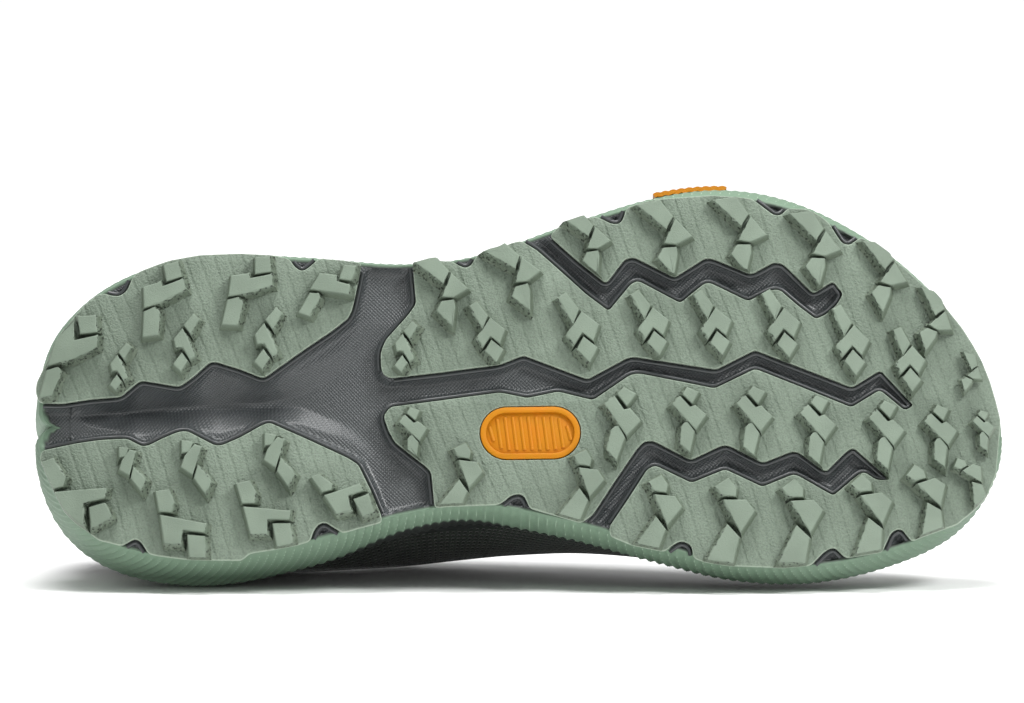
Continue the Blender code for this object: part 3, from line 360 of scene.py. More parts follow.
# The notches' places in the runs above: the run, and its first and last point
NotchRun = namedtuple("NotchRun", "run first last")
NOTCHES = (
    NotchRun("heel_lateral_rim", 9, 13), NotchRun("heel_lateral_rim", 20, 24),
    NotchRun("heel_medial_rim", 2, 6), NotchRun("heel_medial_rim", 14, 18),
    NotchRun("lateral_rim_rear", 2, 6), NotchRun("lateral_rim_front", 2, 7),
    NotchRun("lateral_rim_front", 12, 16), NotchRun("lateral_rim_front", 19, 24),
    NotchRun("medial_rim_front", 1, 5), NotchRun("medial_rim_front", 7, 11),
    NotchRun("medial_rim_front", 15, 20), NotchRun("medial_rim_rear", 2, 8),
)

# Each lug is three blocks parted by slits, given by their flat tops and their middle in the photograph's pixels
LugShape = namedtuple("LugShape", "middle outer centre inner")
LUG_SHAPES = {
    "heel_lateral_tip": LugShape(
        (70, 345),
        ((77, 310), (96, 310), (97, 327), (80, 328)),
        ((61, 327), (74, 315), (74, 334), (98, 330), (97, 342), (76, 352), (47, 358), (54, 334)),
        ((46, 362), (57, 359), (61, 364), (51, 388), (38, 389)),
    ),
    "heel_lateral_edge": LugShape(
        (250, 285),
        ((256, 253), (271, 252), (272, 268), (256, 270)),
        ((232, 271), (250, 269), (251, 274), (273, 270), (273, 282), (245, 290), (229, 292)),
        ((228, 295), (240, 292), (244, 299), (238, 321), (222, 320)),
    ),
    "heel_lateral_front": LugShape(
        (330, 285),
        ((345, 262), (358, 263), (353, 278), (340, 276)),
        ((321, 270), (338, 272), (338, 278), (351, 282), (350, 292), (311, 286)),
        ((311, 289), (320, 290), (321, 294), (310, 313), (299, 309)),
    ),
    "heel_lateral_inner": LugShape(
        (186, 338),
        ((184, 320), (194, 309), (200, 314), (191, 330)),
        ((174, 334), (183, 323), (196, 352), (190, 355), (183, 343), (176, 343)),
        ((182, 347), (188, 356), (181, 367), (173, 359)),
    ),
    "heel_medial_tip": LugShape(
        (75, 485),
        ((38, 454), (52, 450), (65, 470), (62, 479), (50, 481)),
        ((52, 484), (106, 483), (104, 493), (82, 497), (83, 521), (62, 504)),
        ((88, 501), (104, 497), (111, 512), (90, 523)),
    ),
    "heel_medial_edge": LugShape(
        (262, 510),
        ((235, 479), (249, 476), (255, 488), (253, 499), (241, 499)),
        ((242, 502), (289, 507), (288, 516), (266, 515), (266, 530), (249, 530)),
        ((271, 519), (289, 519), (292, 541), (276, 545)),
    ),
    "heel_medial_front": LugShape(
        (342, 493),
        ((310, 474), (318, 470), (331, 481), (330, 487), (321, 489)),
        ((323, 492), (359, 481), (363, 488), (347, 493), (350, 508), (335, 511)),
        ((352, 496), (367, 491), (373, 509), (361, 514)),
    ),
    "heel_medial_inner": LugShape(
        (195, 461),
        ((181, 435), (193, 437), (189, 447), (181, 448)),
        ((184, 451), (194, 439), (201, 442), (192, 470), (180, 462)),
        ((197, 459), (211, 476), (205, 490), (193, 473)),
    ),
    "lateral_edge": LugShape(
        (670, 237),
        ((639, 206), (663, 201), (676, 218), (669, 230)),
        ((678, 220), (695, 238), (679, 246), (667, 245)),
        ((666, 249), (679, 248), (680, 256), (676, 277), (660, 259)),
    ),
    "lateral_inner": LugShape(
        (654, 325),
        ((632, 296), (640, 291), (652, 307), (646, 321)),
        ((654, 309), (670, 322), (664, 337), (654, 329), (646, 341), (640, 331)),
        ((655, 332), (668, 343), (660, 357), (648, 344)),
    ),
    "medial_inner": LugShape(
        (690, 420),
        ((682, 396), (687, 389), (699, 394), (692, 406)),
        ((672, 406), (680, 398), (690, 409), (695, 407), (706, 417), (695, 432)),
        ((681, 427), (687, 423), (694, 433), (689, 455), (679, 446)),
    ),
    "medial_edge": LugShape(
        (727, 523),
        ((713, 489), (727, 480), (735, 490), (734, 499), (720, 498)),
        ((721, 502), (744, 502), (753, 513), (738, 535)),
        ((725, 526), (737, 539), (730, 565), (704, 562)),
    ),
}

# Every lug's middle in the photograph's pixels, its turn in degrees and its size against its shape
LugRow = namedtuple("LugRow", "px py turn size")
LUGS = {
    "outsole_heel_lateral": {
        "heel_lateral_tip": (LugRow(70, 345, 0, 1.0),),
        "heel_lateral_edge": (LugRow(164, 292, -10, 1.0), LugRow(250, 285, 0, 1.0)),
        "heel_lateral_front": (LugRow(330, 285, 0, 1.0),),
        "heel_lateral_inner": (LugRow(120, 361, 0, 0.82), LugRow(186, 338, 0, 1.0), LugRow(268, 335, 0, 1.07)),
    },
    "outsole_heel_medial": {
        "heel_medial_tip": (LugRow(75, 485, 0, 1.0),),
        "heel_medial_edge": (LugRow(178, 519, 6, 1.0), LugRow(262, 510, 0, 1.0)),
        "heel_medial_front": (LugRow(342, 493, 0, 1.0),),
        "heel_medial_inner": (LugRow(131, 462, -3, 0.84), LugRow(195, 461, 0, 1.0), LugRow(278, 455, 0, 1.0)),
    },
    "outsole_forefoot": {
        "lateral_edge": (
            LugRow(446, 288, -3, 0.94), LugRow(519, 274, -10, 0.94), LugRow(592, 242, -4, 0.84),
            LugRow(670, 237, 0, 1.0), LugRow(745, 235, 3, 1.0), LugRow(820, 250, 5, 0.97),
            LugRow(888, 280, 12, 0.92), LugRow(937, 326, 24, 0.80), LugRow(973, 379, 26, 0.50),
        ),
        "heel_lateral_inner": (LugRow(406, 345, 0, 0.88),),
        "lateral_inner": (
            LugRow(491, 332, 0, 0.94), LugRow(583, 329, -1, 1.08), LugRow(654, 325, 0, 1.0),
            LugRow(717, 326, 0, 1.0), LugRow(785, 328, 2, 1.03), LugRow(854, 346, 6, 1.05),
            LugRow(912, 366, 8, 0.95),
        ),
        "medial_inner": (
            LugRow(414, 430, -4, 0.80), LugRow(622, 423, 8, 1.13), LugRow(690, 420, 0, 1.0),
            LugRow(755, 422, 2, 1.06), LugRow(819, 432, 0, 1.05), LugRow(888, 438, 0, 1.05),
            LugRow(943, 440, -4, 0.95), LugRow(986, 436, -6, 0.62),
        ),
        "medial_edge": (
            LugRow(460, 476, 8, 0.80), LugRow(580, 486, 8, 0.84), LugRow(656, 515, 6, 0.90),
            LugRow(727, 523, 0, 1.0), LugRow(796, 525, -4, 1.0), LugRow(868, 519, -10, 0.95),
            LugRow(927, 505, -20, 0.85), LugRow(972, 486, -34, 0.58),
        ),
    },
}

# The heel's groove opens to the waist's floor: its two creases in the photograph's pixels, and its depth
GrooveRow = namedtuple("GrooveRow", "px lateral medial depth")
GROOVE = (
    GrooveRow(10, 415, 417, 0.10),
    GrooveRow(60, 411, 413, 0.10),
    GrooveRow(88, 409, 411, 0.55),
    GrooveRow(125, 407, 409, 1.00),
    GrooveRow(180, 403, 406, 1.00),
    GrooveRow(260, 400, 404, 0.92),
    GrooveRow(300, 394, 404, 0.80),
    GrooveRow(340, 374, 420, 0.62),
    GrooveRow(380, 340, 448, 0.42),
    GrooveRow(415, 310, 470, 0.22),
    GrooveRow(450, 300, 480, 0.00),
)


def linear(red, green, blue):
    """A colour as the shader wants it, from its values on a screen."""
    return tuple((value / 255 / 12.92) if value < 10 else ((value / 255 + 0.055) / 1.055) ** 2.4
                 for value in (red, green, blue))


def length_value(title, about, default):
    return bpy.props.FloatProperty(name=title, description=about, default=default, unit="LENGTH", precision=5)


def colour_value(title, about, default):
    return bpy.props.FloatVectorProperty(name=title, description=about, default=default, subtype="COLOR",
                                         size=3, min=0, max=1)


class ShoeSizes(bpy.types.PropertyGroup):
    """Fine sizes that the solids leave to this script."""

    edge_round: length_value("Edge Round", "Rounding of the rubber's edges", 0.00035)
    lug_round: length_value("Lug Round", "Rounding of the lugs' tops", 0.00030)
    lug_side: length_value("Lug Side", "How far a lug's side runs out to its foot", 0.0007)
    pitted_side: length_value("Pitted Side", "How much further its pitted side runs out", 0.0009)
    knob: length_value("Knob", "How far the knobs of the pitted side stand out", 0.00050)
    knob_pitch: length_value("Knob Pitch", "Distance between the knobs of the pitted side", 0.0008)
    bead: length_value("Bead", "Radius of the foam's bead round the rubber", 0.00065)
    trough_depth: length_value("Trough Depth", "Depth of the forefoot's channels", 0.0026)
    trough_width: length_value("Trough Width", "Width of a channel's sloping side", 0.0024)
    rib_pitch: length_value("Rib Pitch", "Distance between the sidewall's ribs", 0.0029)
    rib_depth: length_value("Rib Depth", "Depth of the sidewall's ribs", 0.0007)
    line_pitch: length_value("Line Pitch", "Distance between the fine lines across the rubber", 0.0044)
    stitch: length_value("Stitch", "Length of one stitch", 0.0024)


class ShoeColours(bpy.types.PropertyGroup):
    """The colours of the shoe's finishes."""

    rubber: colour_value("Rubber", "The tread's sage rubber", linear(113, 127, 112))
    # The darker rubber gives the cloudy tone, and is painted shade in the pebble grain's low spots
    rubber_shade: colour_value("Rubber Shade", "The rubber in its hollows", linear(70, 82, 69))
    foam: colour_value("Foam", "The sidewall's ribbed foam", linear(104, 127, 107))
    dark_foam: colour_value("Dark Foam", "The charcoal foam between the pods", linear(44, 48, 49))
    orange: colour_value("Orange", "The inlay and the tab", linear(178, 114, 0))
    upper: colour_value("Upper", "The upper's engineered mesh", linear(27, 36, 29))
    film: colour_value("Film", "The moulded overlays", linear(96, 110, 92))
    lining: colour_value("Lining", "The padded lining", linear(46, 50, 52))
    lace: colour_value("Lace", "The laces", linear(128, 140, 118))


def sizes():
    return bpy.context.scene.shoe_sizes


def colours():
    return bpy.context.scene.shoe_colours


def through_rows(rows, key, column, value):
    """Reads a column of a table at any value of its key column, on a smooth curve through the rows."""
    keys = [getattr(row, key) for row in rows]
    heights = [getattr(row, column) for row in rows]
    value = min(max(value, keys[0]), keys[-1])
    span = max(k for k in range(len(keys) - 1) if keys[k] <= value)

    def slope(k):
        before = max(k - 1, 0)
        after = min(k + 1, len(keys) - 1)
        return (heights[after] - heights[before]) / (keys[after] - keys[before])

    width = keys[span + 1] - keys[span]
    part = (value - keys[span]) / width
    return (heights[span] * (1 + 2 * part) * (1 - part) ** 2
            + slope(span) * width * part * (1 - part) ** 2
            + heights[span + 1] * part ** 2 * (3 - 2 * part)
            + slope(span + 1) * width * part ** 2 * (part - 1))


def place(along, across):
    """A point on the plan, from shares of the length and the ball width."""
    return Vector((along * LENGTH, across * BALL_WIDTH))


def ground(x):
    """Height of the tread's plane: flat under foot, bevelled at the heel and sprung at the toe."""
    along = x / LENGTH
    spring = max(0.0, (along - BALL_ALONG) / (1 - BALL_ALONG))
    bevel = max(0.0, (HEEL_ALONG - along) / HEEL_ALONG)
    return TOE_SPRING * spring ** 2 + HEEL_BEVEL * bevel ** 2


@functools.lru_cache(maxsize=None)
def sole_height(column, x):
    """A height or width of the sole at one place along it."""
    return through_rows(SOLE_HEIGHTS, "along", column, x / LENGTH)


def footbed(x):
    """Height of the sole's upper face."""
    return ground(x) + sole_height("stack", x)


def on_tread(px, py, height=LUG_HEIGHT):
    """The plan point that the photograph shows at a pixel, on a face at a height above the tread's plane."""
    x = (px - PHOTO_HEEL) * PIXEL
    seen = (py - PHOTO_MIDDLE) * PIXEL
    return Vector((x, (seen - (ground(x) + height) * math.sin(VIEW_LEAN)) / math.cos(VIEW_LEAN)))


def curve_side(points, steps=24):
    """Samples one side of the tread's edge on a smooth curve: its points with their running lengths."""
    samples = []
    for k in range(1, len(points) - 2):
        before, start, end, after = points[k - 1:k + 3]
        for step in range(steps):
            part = step / steps
            samples.append(0.5 * (2 * start + (end - before) * part
                                  + (2 * before - 5 * start + 4 * end - after) * part ** 2
                                  + (3 * start - before - 3 * end + after) * part ** 3))
    samples.append(points[-2].copy())
    lengths = [0.0]
    for start, end in zip(samples, samples[1:]):
        lengths.append(lengths[-1] + (end - start).length)
    return samples, lengths


def tread_sides():
    """Both sides of the tread's edge, each from the heel's tip to the toe's tip."""
    lateral = [place(row.along, row.lateral) for row in TREAD_EDGE]
    medial = [place(row.along, row.medial) for row in TREAD_EDGE]
    heel = place(0, HEEL_TIP_ACROSS)
    toe = place(1, TOE_TIP_ACROSS)
    return {
        LATERAL: curve_side([medial[0], heel] + lateral + [toe, medial[-1]]),
        MEDIAL: curve_side([lateral[0], heel] + medial + [toe, lateral[-1]]),
    }


SIDES = tread_sides()
SIDE_LENGTH = SIDES[LATERAL][1][-1]


def side_of(turn):
    """The side of the shoe that a turn lies on, and the share of that side that it has run."""
    turn = turn % 2
    return (LATERAL, turn) if turn <= 1 else (MEDIAL, 2 - turn)


@functools.lru_cache(maxsize=None)
def edge_at(turn):
    """A point of the tread's edge and its outward direction. Turn runs heel 0, lateral, toe 1, medial, 2."""
    side, share = side_of(turn)
    samples, lengths = SIDES[side]
    wanted = share * lengths[-1]
    index = min(max(bisect.bisect_left(lengths, wanted) - 1, 0), len(samples) - 2)
    part = (wanted - lengths[index]) / (lengths[index + 1] - lengths[index])
    point = samples[index].lerp(samples[index + 1], part)
    before = samples[max(index - 1, 0)]
    after = samples[min(index + 2, len(samples) - 1)]
    along = (after - before).normalized()
    return point, Vector((-along.y, along.x)) * side


def ring(inset, count):
    """Points round the sole on the tread's edge, moved in by a function of their place along."""
    points = []
    for k in range(count):
        point, outward = edge_at(2 * k / count)
        points.append(point - outward * inset(point.x))
    return points


def ledge(x):
    return sole_height("ledge", x)


@functools.lru_cache(maxsize=None)
def upper_column(turn):
    """The four control points of the curve that the upper follows from the sole to its top line."""
    side, share = side_of(turn)
    row = {name: through_rows(UPPER_SECTIONS, "turn", name, share) for name in UpperRow._fields[1:]}
    edge, outward = edge_at(turn)
    outward = Vector((outward.x, outward.y, 0))
    foot_plan = edge - outward.xy * ledge(edge.x)
    foot = Vector((foot_plan.x, foot_plan.y, footbed(foot_plan.x) + CLEARANCE))
    top_plan = place(row["along"], LAST_CENTRE + side * row["across"])
    top = Vector((top_plan.x, top_plan.y, footbed(top_plan.x)))
    top.z += row["heel"] * HEEL_HEIGHT + row["instep"] * INSTEP_HEIGHT
    up = Vector((0, 0, 1))
    low = foot + (up * row["rise"] + outward * row["swell"]) * INSTEP_HEIGHT
    slope = math.radians(row["slope"])
    high = top + (outward * math.cos(slope) - up * math.sin(slope)) * row["reach"] * INSTEP_HEIGHT
    return foot, low, high, top


def upper_point(turn, rise):
    """A point of the upper's outer face. Rise runs from 0 at the sole to 1 at the top line."""
    foot, low, high, top = upper_column(turn)
    rest = 1 - rise
    return foot * rest ** 3 + low * 3 * rest ** 2 * rise + high * 3 * rest * rise ** 2 + top * rise ** 3


def upper_normal(turn, rise):
    """The upper's outward direction at a point."""
    step = 0.004
    low = max(rise - step, 0)
    high = min(rise + step, 1)
    across = upper_point(turn + step, rise) - upper_point(turn - step, rise)
    along = upper_point(turn, high) - upper_point(turn, low)
    return across.cross(along).normalized()


def off_upper(turn, rise, distance):
    """A point at a distance outside the upper's outer face."""
    return upper_point(turn, rise) + upper_normal(turn, rise) * distance


def rise_at_height(turn, height):
    """How far up its curve the upper reaches a height."""
    low = 0.0
    high = 0.6
    for _ in range(20):
        middle = (low + high) / 2
        if upper_point(turn, middle).z < height:
            low = middle
        else:
            high = middle
    return low


def sidewall_top(turn):
    """Height of the sidewall's upper edge."""
    x = edge_at(turn)[0].x
    return ground(x) + sole_height("sidewall", x)


def midsole_bottom():
    return LUG_HEIGHT + SHEET_THICKNESS + CLEARANCE


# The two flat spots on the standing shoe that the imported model's mounts sit on
HEEL_SPOT = Vector((0.067096, -0.035707, 0))
FOREFOOT_SPOT = Vector((0.171259, -0.053903, 0))


def axes_of(ahead, up):
    """A turning matrix whose columns are a direction, the one to its side and one up."""
    ahead = ahead.normalized()
    return Matrix((ahead, up.cross(ahead), up)).transposed()


def row_place():
    """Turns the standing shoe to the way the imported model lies, from where its two mounts are."""
    mounts = {mount["name"]: mount for mount in frame["record"]["mounts"]}
    heel = Vector(mounts["heel_lug_top"]["pos_m"])
    forefoot = Vector(mounts["forefoot_lug_top"]["pos_m"])
    up = -Vector(mounts["heel_lug_top"]["axis"]).normalized()
    ahead = forefoot - heel
    ahead -= up * ahead.dot(up)
    turn = axes_of(ahead, up) @ axes_of(FOREFOOT_SPOT - HEEL_SPOT, Vector((0, 0, 1))).transposed()
    return Matrix.Translation(heel - turn @ HEEL_SPOT) @ turn.to_4x4()


LYING = row_place()


class Value:
    """A number socket in a material. Arithmetic on it adds the Math nodes that work it out."""

    def __init__(self, graph, socket):
        self.graph = graph
        self.socket = socket

    def math(self, operation, *values):
        return Value(self.graph, self.graph.add("ShaderNodeMath", {"operation": operation}, dict(enumerate(values))))

    def __add__(self, other):
        return self.math("ADD", self, other)

    def __radd__(self, other):
        return self.math("ADD", other, self)

    def __sub__(self, other):
        return self.math("SUBTRACT", self, other)

    def __rsub__(self, other):
        return self.math("SUBTRACT", other, self)

    def __mul__(self, other):
        return self.math("MULTIPLY", self, other)

    def __rmul__(self, other):
        return self.math("MULTIPLY", other, self)

    def between(self, low, high):
        """0 below one value, 1 above another, and smooth between them."""
        made = self.graph.add("ShaderNodeMapRange", {"interpolation_type": "SMOOTHSTEP"},
                              {"Value": self, "From Min": low, "From Max": high})
        return Value(self.graph, made)

    def wave(self, period):
        """0 where this value is a multiple of the period, 1 half way between."""
        return self.math("PINGPONG", self, period / 2) * (2 / period)


class Graph:
    """The nodes of one material, ending in its Principled shader."""

    def __init__(self, name):
        self.material = bpy.data.materials.new(name)
        self.material.use_nodes = True
        self.tree = self.material.node_tree
        self.shader = self.tree.nodes["Principled BSDF"]

    def set(self, node, key, value):
        """Gives a node's input a number, a colour or a link."""
        target = node.inputs[key]
        if isinstance(value, Value):
            value = value.socket
        if isinstance(value, bpy.types.NodeSocket):
            self.tree.links.new(value, target)
        elif isinstance(value, (tuple, list)) and len(value) == 3 and target.type == "RGBA":
            target.default_value = (*value, 1)
        else:
            target.default_value = value

    def add(self, kind, settings=None, values=None, output=0):
        """Adds a node: its settings first, then its inputs, and gives back one of its outputs."""
        node = self.tree.nodes.new(kind)
        for key, value in (settings or {}).items():
            setattr(node, key, value)
        for key, value in (values or {}).items():
            self.set(node, key, value)
        return node.outputs[output]

    def attribute(self, name, output="Fac"):
        """A value or vector that is stored on the mesh."""
        return self.add("ShaderNodeAttribute", {"attribute_name": name}, output=output)

    def number(self, name):
        return Value(self, self.attribute(name))

    def standing(self):
        """The place on the standing shoe, in metres."""
        return self.attribute("shoe_place", "Vector")

    def axes(self):
        """The three numbers of the place on the standing shoe."""
        first = self.add("ShaderNodeSeparateXYZ", {}, {0: self.standing()})
        return [Value(self, socket) for socket in first.node.outputs]

    def noise(self, size, detail=2.0):
        """Cloudy noise whose lumps are about one size, in metres."""
        return Value(self, self.add("ShaderNodeTexNoise", {}, {
            "Vector": self.standing(), "Scale": 1 / size, "Detail": detail}))

    def cells(self, size):
        """Distance to the nearest of many scattered points about one size apart."""
        return Value(self, self.add("ShaderNodeTexVoronoi", {}, {"Vector": self.standing(), "Scale": 1 / size}))

    def blend(self, share, first, second):
        """A colour that goes from the first to the second as the share goes from 0 to 1."""
        return self.add("ShaderNodeMix", {"data_type": "RGBA", "clamp_factor": True},
                        {0: share, 6: first, 7: second}, output=2)

    def relief(self, height, depth, under=None):
        """A bump from a height of 0 to 1 times a depth in metres, on top of another bump."""
        values = {"Height": height, "Distance": depth, "Strength": 1.0}
        if under is not None:
            values["Normal"] = under
        return self.add("ShaderNodeBump", {}, values)

    def finish(self, **inputs):
        """Sets the shader's inputs, whose names have underscores for spaces, and gives the material."""
        for key, value in inputs.items():
            self.set(self.shader, key.replace("_", " "), value)
        return self.material


def weave(graph, first, second, pitch):
    """A fine cloth: two sets of threads that cross, over and under, from two running lengths."""
    across = first.wave(pitch)
    down = second.wave(pitch)
    return across * (1 - down) + down * (1 - across)


def rubber_finish():
    """Moulded sage rubber: fine grain, thin lines across the shoe, and pits on the lugs' steep sides, with painted
    shade in the grain's low spots, in the pits and down the lugs' sides, and a painted highlight on the sheets'
    edges.
    """
    graph = Graph("sage_rubber")
    x, y, _ = graph.axes()
    tops = graph.number("lug_top")
    pits = graph.number("pitted")
    foot = graph.number("foot_shade")
    edge = graph.number("sheet_edge")
    sheet = (1 - tops) * (1 - foot.between(0.0, 0.2))
    grain = graph.noise(0.00062, 2)
    fine = graph.noise(0.0003, 2)
    cloud = graph.noise(0.012, 2)
    line_run = x - y * 0.32 + graph.noise(0.080, 0) * 0.009
    lines = (1 - line_run.wave(sizes().line_pitch).between(0.0, 0.42)) * sheet
    dots = (1 - graph.cells(PIT_PITCH).between(0.18, 0.38)) * pits
    pebble = grain.between(0.36, 0.62)
    worn = graph.blend(cloud.between(0.3, 0.7) * 0.25, colours().rubber[:], colours().rubber_shade[:])
    # Painted shade: the pebble grain's low spots take the darker rubber
    pebble_shaded = graph.blend((1 - pebble) * sheet * 0.30, worn, colours().rubber_shade[:])
    # Painted highlight: a pale line along the sheets' rounded edges
    lit = graph.blend(edge * 0.5, pebble_shaded, linear(172, 186, 168))
    # Painted shade: each lug's side grows darker towards its foot
    shaded = graph.blend(foot * 0.55, lit, linear(78, 88, 70))
    # Darkens the moulded lines a little, and the pits on the lugs' pitted sides as painted shade
    lines_and_pit_shade = graph.blend(lines * 0.05 + dots * 0.75, shaded, linear(40, 48, 38))
    bumped = graph.relief(grain * (1 - tops * 0.8) + fine * 0.3, 0.00042)
    bumped = graph.relief(1 - lines, 0.00018, bumped)
    bumped = graph.relief(1 - dots, 0.0006, bumped)
    return graph.finish(Base_Color=lines_and_pit_shade, Roughness=0.50 + grain * 0.18, Normal=bumped, Specular_IOR_Level=0.45)


def dark_foam_finish():
    """Charcoal foam with a fine slanting weave moulded into it, and a slight gloss."""
    graph = Graph("charcoal_foam")
    x, y, z = graph.axes()
    threads = weave(graph, x - z * 0.4, y + z * 0.6, WEAVE_PITCH)
    smooth = graph.number("smooth_foam")
    cloud = graph.noise(0.010, 2)
    grain = graph.noise(0.0004, 2)
    base = graph.blend(cloud * 0.5, colours().dark_foam[:], linear(34, 37, 38))
    woven = threads * (1 - smooth)
    coloured = graph.blend(woven.between(0.15, 0.85) * 0.45, base, linear(92, 97, 98))
    bumped = graph.relief(woven, 0.00034)
    bumped = graph.relief(grain, 0.00005, bumped)
    return graph.finish(Base_Color=coloured, Roughness=0.30 + cloud * 0.12, Normal=bumped, Coat_Weight=0.30,
                        Coat_Roughness=0.22)


def green_foam_finish():
    """Ribbed sidewall foam with a painted highlight along its crests, charcoal where the mesh says that its dark band
    runs.
    """
    graph = Graph("green_foam")
    band = graph.number("dark_band")
    crest = graph.number("rib_crest")
    grain = graph.noise(0.0005, 3)
    cloud = graph.noise(0.015, 2)
    green = graph.blend(cloud * 0.4, colours().foam[:], linear(98, 122, 100))
    # Painted highlight: the ribs' crests turn pale
    crest_lit = graph.blend(crest.between(0.72, 0.98) * 0.55 * (1 - band), green, linear(170, 190, 168))
    banded = graph.blend(band, crest_lit, linear(27, 31, 29))
    bumped = graph.relief(grain, 0.00012)
    return graph.finish(Base_Color=banded, Roughness=0.50 + grain * 0.12, Normal=bumped)


def orange_finish():
    """Bright moulded rubber with a fine grain."""
    graph = Graph("orange_rubber")
    grain = graph.noise(0.0004, 3)
    cloud = graph.noise(0.004, 2)
    shaded = graph.blend(cloud.between(0.35, 0.8) * 0.4, colours().orange[:], linear(190, 104, 4))
    return graph.finish(Base_Color=shaded, Roughness=0.46 + grain * 0.12, Normal=graph.relief(grain, 0.0001),
                        Specular_IOR_Level=0.25)


def mesh_finish():
    """Engineered mesh of dark yarn with small open cells, and a smooth wrap at the medial waist."""
    graph = Graph("upper_mesh")
    around = graph.number("run_around")
    rise = graph.number("run_up")
    across = around.wave(MESH_PITCH).between(0.25, 0.65)
    holes = (1 - across) * (1 - rise.wave(MESH_PITCH * 0.8).between(0.2, 0.6))
    yarn = graph.noise(0.00035, 3)
    cloud = graph.noise(0.02, 2)
    wrap = graph.number("arch_wrap")
    base = graph.blend(cloud.between(0.3, 0.7) * 0.6, colours().upper[:], linear(22, 30, 26))
    threads = graph.blend(yarn.between(0.35, 0.75) * 0.5, base, linear(74, 88, 72))
    holed = graph.blend(holes * 0.9, threads, linear(8, 11, 9))
    wrapped = graph.blend(wrap, holed, linear(34, 39, 37))
    bumped = graph.relief((1 - holes) * (1 - wrap), 0.0004)
    bumped = graph.relief(yarn * (1 - wrap * 0.8), 0.0002, bumped)
    return graph.finish(Base_Color=wrapped, Roughness=0.82 + yarn * 0.1 - wrap * 0.40, Normal=bumped,
                        Sheen_Weight=0.2, Sheen_Roughness=0.5)


def film_finish():
    """Thin moulded overlay film with a soft gloss and a fine grain."""
    graph = Graph("overlay_film")
    grain = graph.noise(0.0005, 3)
    cloud = graph.noise(0.012, 2)
    base = graph.blend(cloud * 0.5, colours().film[:], linear(72, 86, 70))
    return graph.finish(Base_Color=base, Roughness=0.42 + grain * 0.14, Normal=graph.relief(grain, 0.00016),
                        Coat_Weight=0.08)


def eyestay_finish():
    """Charcoal synthetic of the eyestay, lightly pebbled."""
    graph = Graph("eyestay_film")
    pebble = graph.cells(PIT_PITCH)
    grain = graph.noise(0.0005, 3)
    base = graph.blend(grain * 0.5, linear(52, 58, 58), linear(34, 39, 40))
    bumped = graph.relief(pebble, 0.00018)
    return graph.finish(Base_Color=base, Roughness=0.46 + grain * 0.16, Normal=graph.relief(grain, 0.0001, bumped))


def lining_finish():
    """Brushed knit of the collar's lining, the tongue and the insole."""
    graph = Graph("knit_lining")
    x, y, z = graph.axes()
    loops = weave(graph, x + z, y + z * 0.7, KNIT_PITCH)
    fuzz = graph.noise(0.0004, 3)
    base = graph.blend(loops.between(0.2, 0.9) * 0.5 + fuzz * 0.3, colours().lining[:], linear(84, 92, 88))
    bumped = graph.relief(loops, 0.0003)
    bumped = graph.relief(fuzz, 0.0002, bumped)
    return graph.finish(Base_Color=base, Roughness=0.88 + fuzz * 0.08, Normal=bumped, Sheen_Weight=0.35)


def lace_finish():
    """Flat woven lace: slanting ribs along it and a darker fleck."""
    graph = Graph("woven_lace")
    along = graph.number("run_along")
    across = graph.number("run_across")
    ribs = (along + across * 0.9).wave(LACE_PITCH) * (along - across * 0.9).wave(LACE_PITCH)
    fleck = graph.noise(0.0012, 2)
    base = graph.blend(ribs.between(0.1, 0.7), linear(66, 76, 62), colours().lace[:])
    flecked = graph.blend(fleck.between(0.55, 0.7) * 0.4, base, linear(60, 68, 56))
    return graph.finish(Base_Color=flecked, Roughness=0.85 + fleck * 0.08, Normal=graph.relief(ribs, 0.0004),
                        Sheen_Weight=0.3)


def thread_finish():
    """Waxed sewing thread."""
    graph = Graph("sewing_thread")
    twist = graph.noise(0.0003, 2)
    base = graph.blend(twist, linear(120, 134, 112), linear(150, 162, 140))
    return graph.finish(Base_Color=base, Roughness=0.6 + twist * 0.1)


@functools.lru_cache(maxsize=None)
def finish_for(name):
    """The finishes are made once each, by name."""
    makers = {
        "rubber": rubber_finish, "dark_foam": dark_foam_finish, "green_foam": green_foam_finish,
        "orange": orange_finish, "mesh": mesh_finish, "film": film_finish, "eyestay": eyestay_finish,
        "lining": lining_finish, "lace": lace_finish, "thread": thread_finish,
    }
    return makers[name]()


def link_object(name, data, *finishes):
    """Links a new object to the scene, with its finishes by name."""
    for finish in finishes:
        data.materials.append(finish_for(finish))
    item = bpy.data.objects.new(name, data)
    bpy.context.scene.collection.objects.link(item)
    return item


def evaluated_mesh(item):
    """An object's evaluated form as a new mesh."""
    return bpy.data.meshes.new_from_object(item.evaluated_get(bpy.context.evaluated_depsgraph_get()))


def applied(item):
    """Turns an object's evaluated form into its own mesh, without modifiers."""
    mesh = evaluated_mesh(item)
    item.modifiers.clear()
    item.data = mesh
    return item


def store(mesh, name, values, kind="FLOAT"):
    """Stores a value or a vector for each point of a mesh."""
    layer = mesh.attributes.get(name) or mesh.attributes.new(name, kind, "POINT")
    flat = np.asarray(values, np.float32).ravel()
    layer.data.foreach_set("vector" if kind == "FLOAT_VECTOR" else "value", flat)


def corners_of(mesh):
    found = np.zeros(len(mesh.vertices) * 3, np.float32)
    mesh.vertices.foreach_get("co", found)
    return found.reshape(-1, 3)


@contextlib.contextmanager
def editing(mesh):
    """Opens a mesh for editing and writes it back."""
    shape = bmesh.new()
    shape.from_mesh(mesh)
    yield shape
    shape.to_mesh(mesh)
    shape.free()


def mesh_of(name, shape):
    """A new mesh from an edited shape."""
    mesh = bpy.data.meshes.new(name)
    shape.to_mesh(mesh)
    shape.free()
    return mesh


def turn_out(shape):
    """Turns every face of a shape to face out."""
    bmesh.ops.recalc_face_normals(shape, faces=shape.faces)


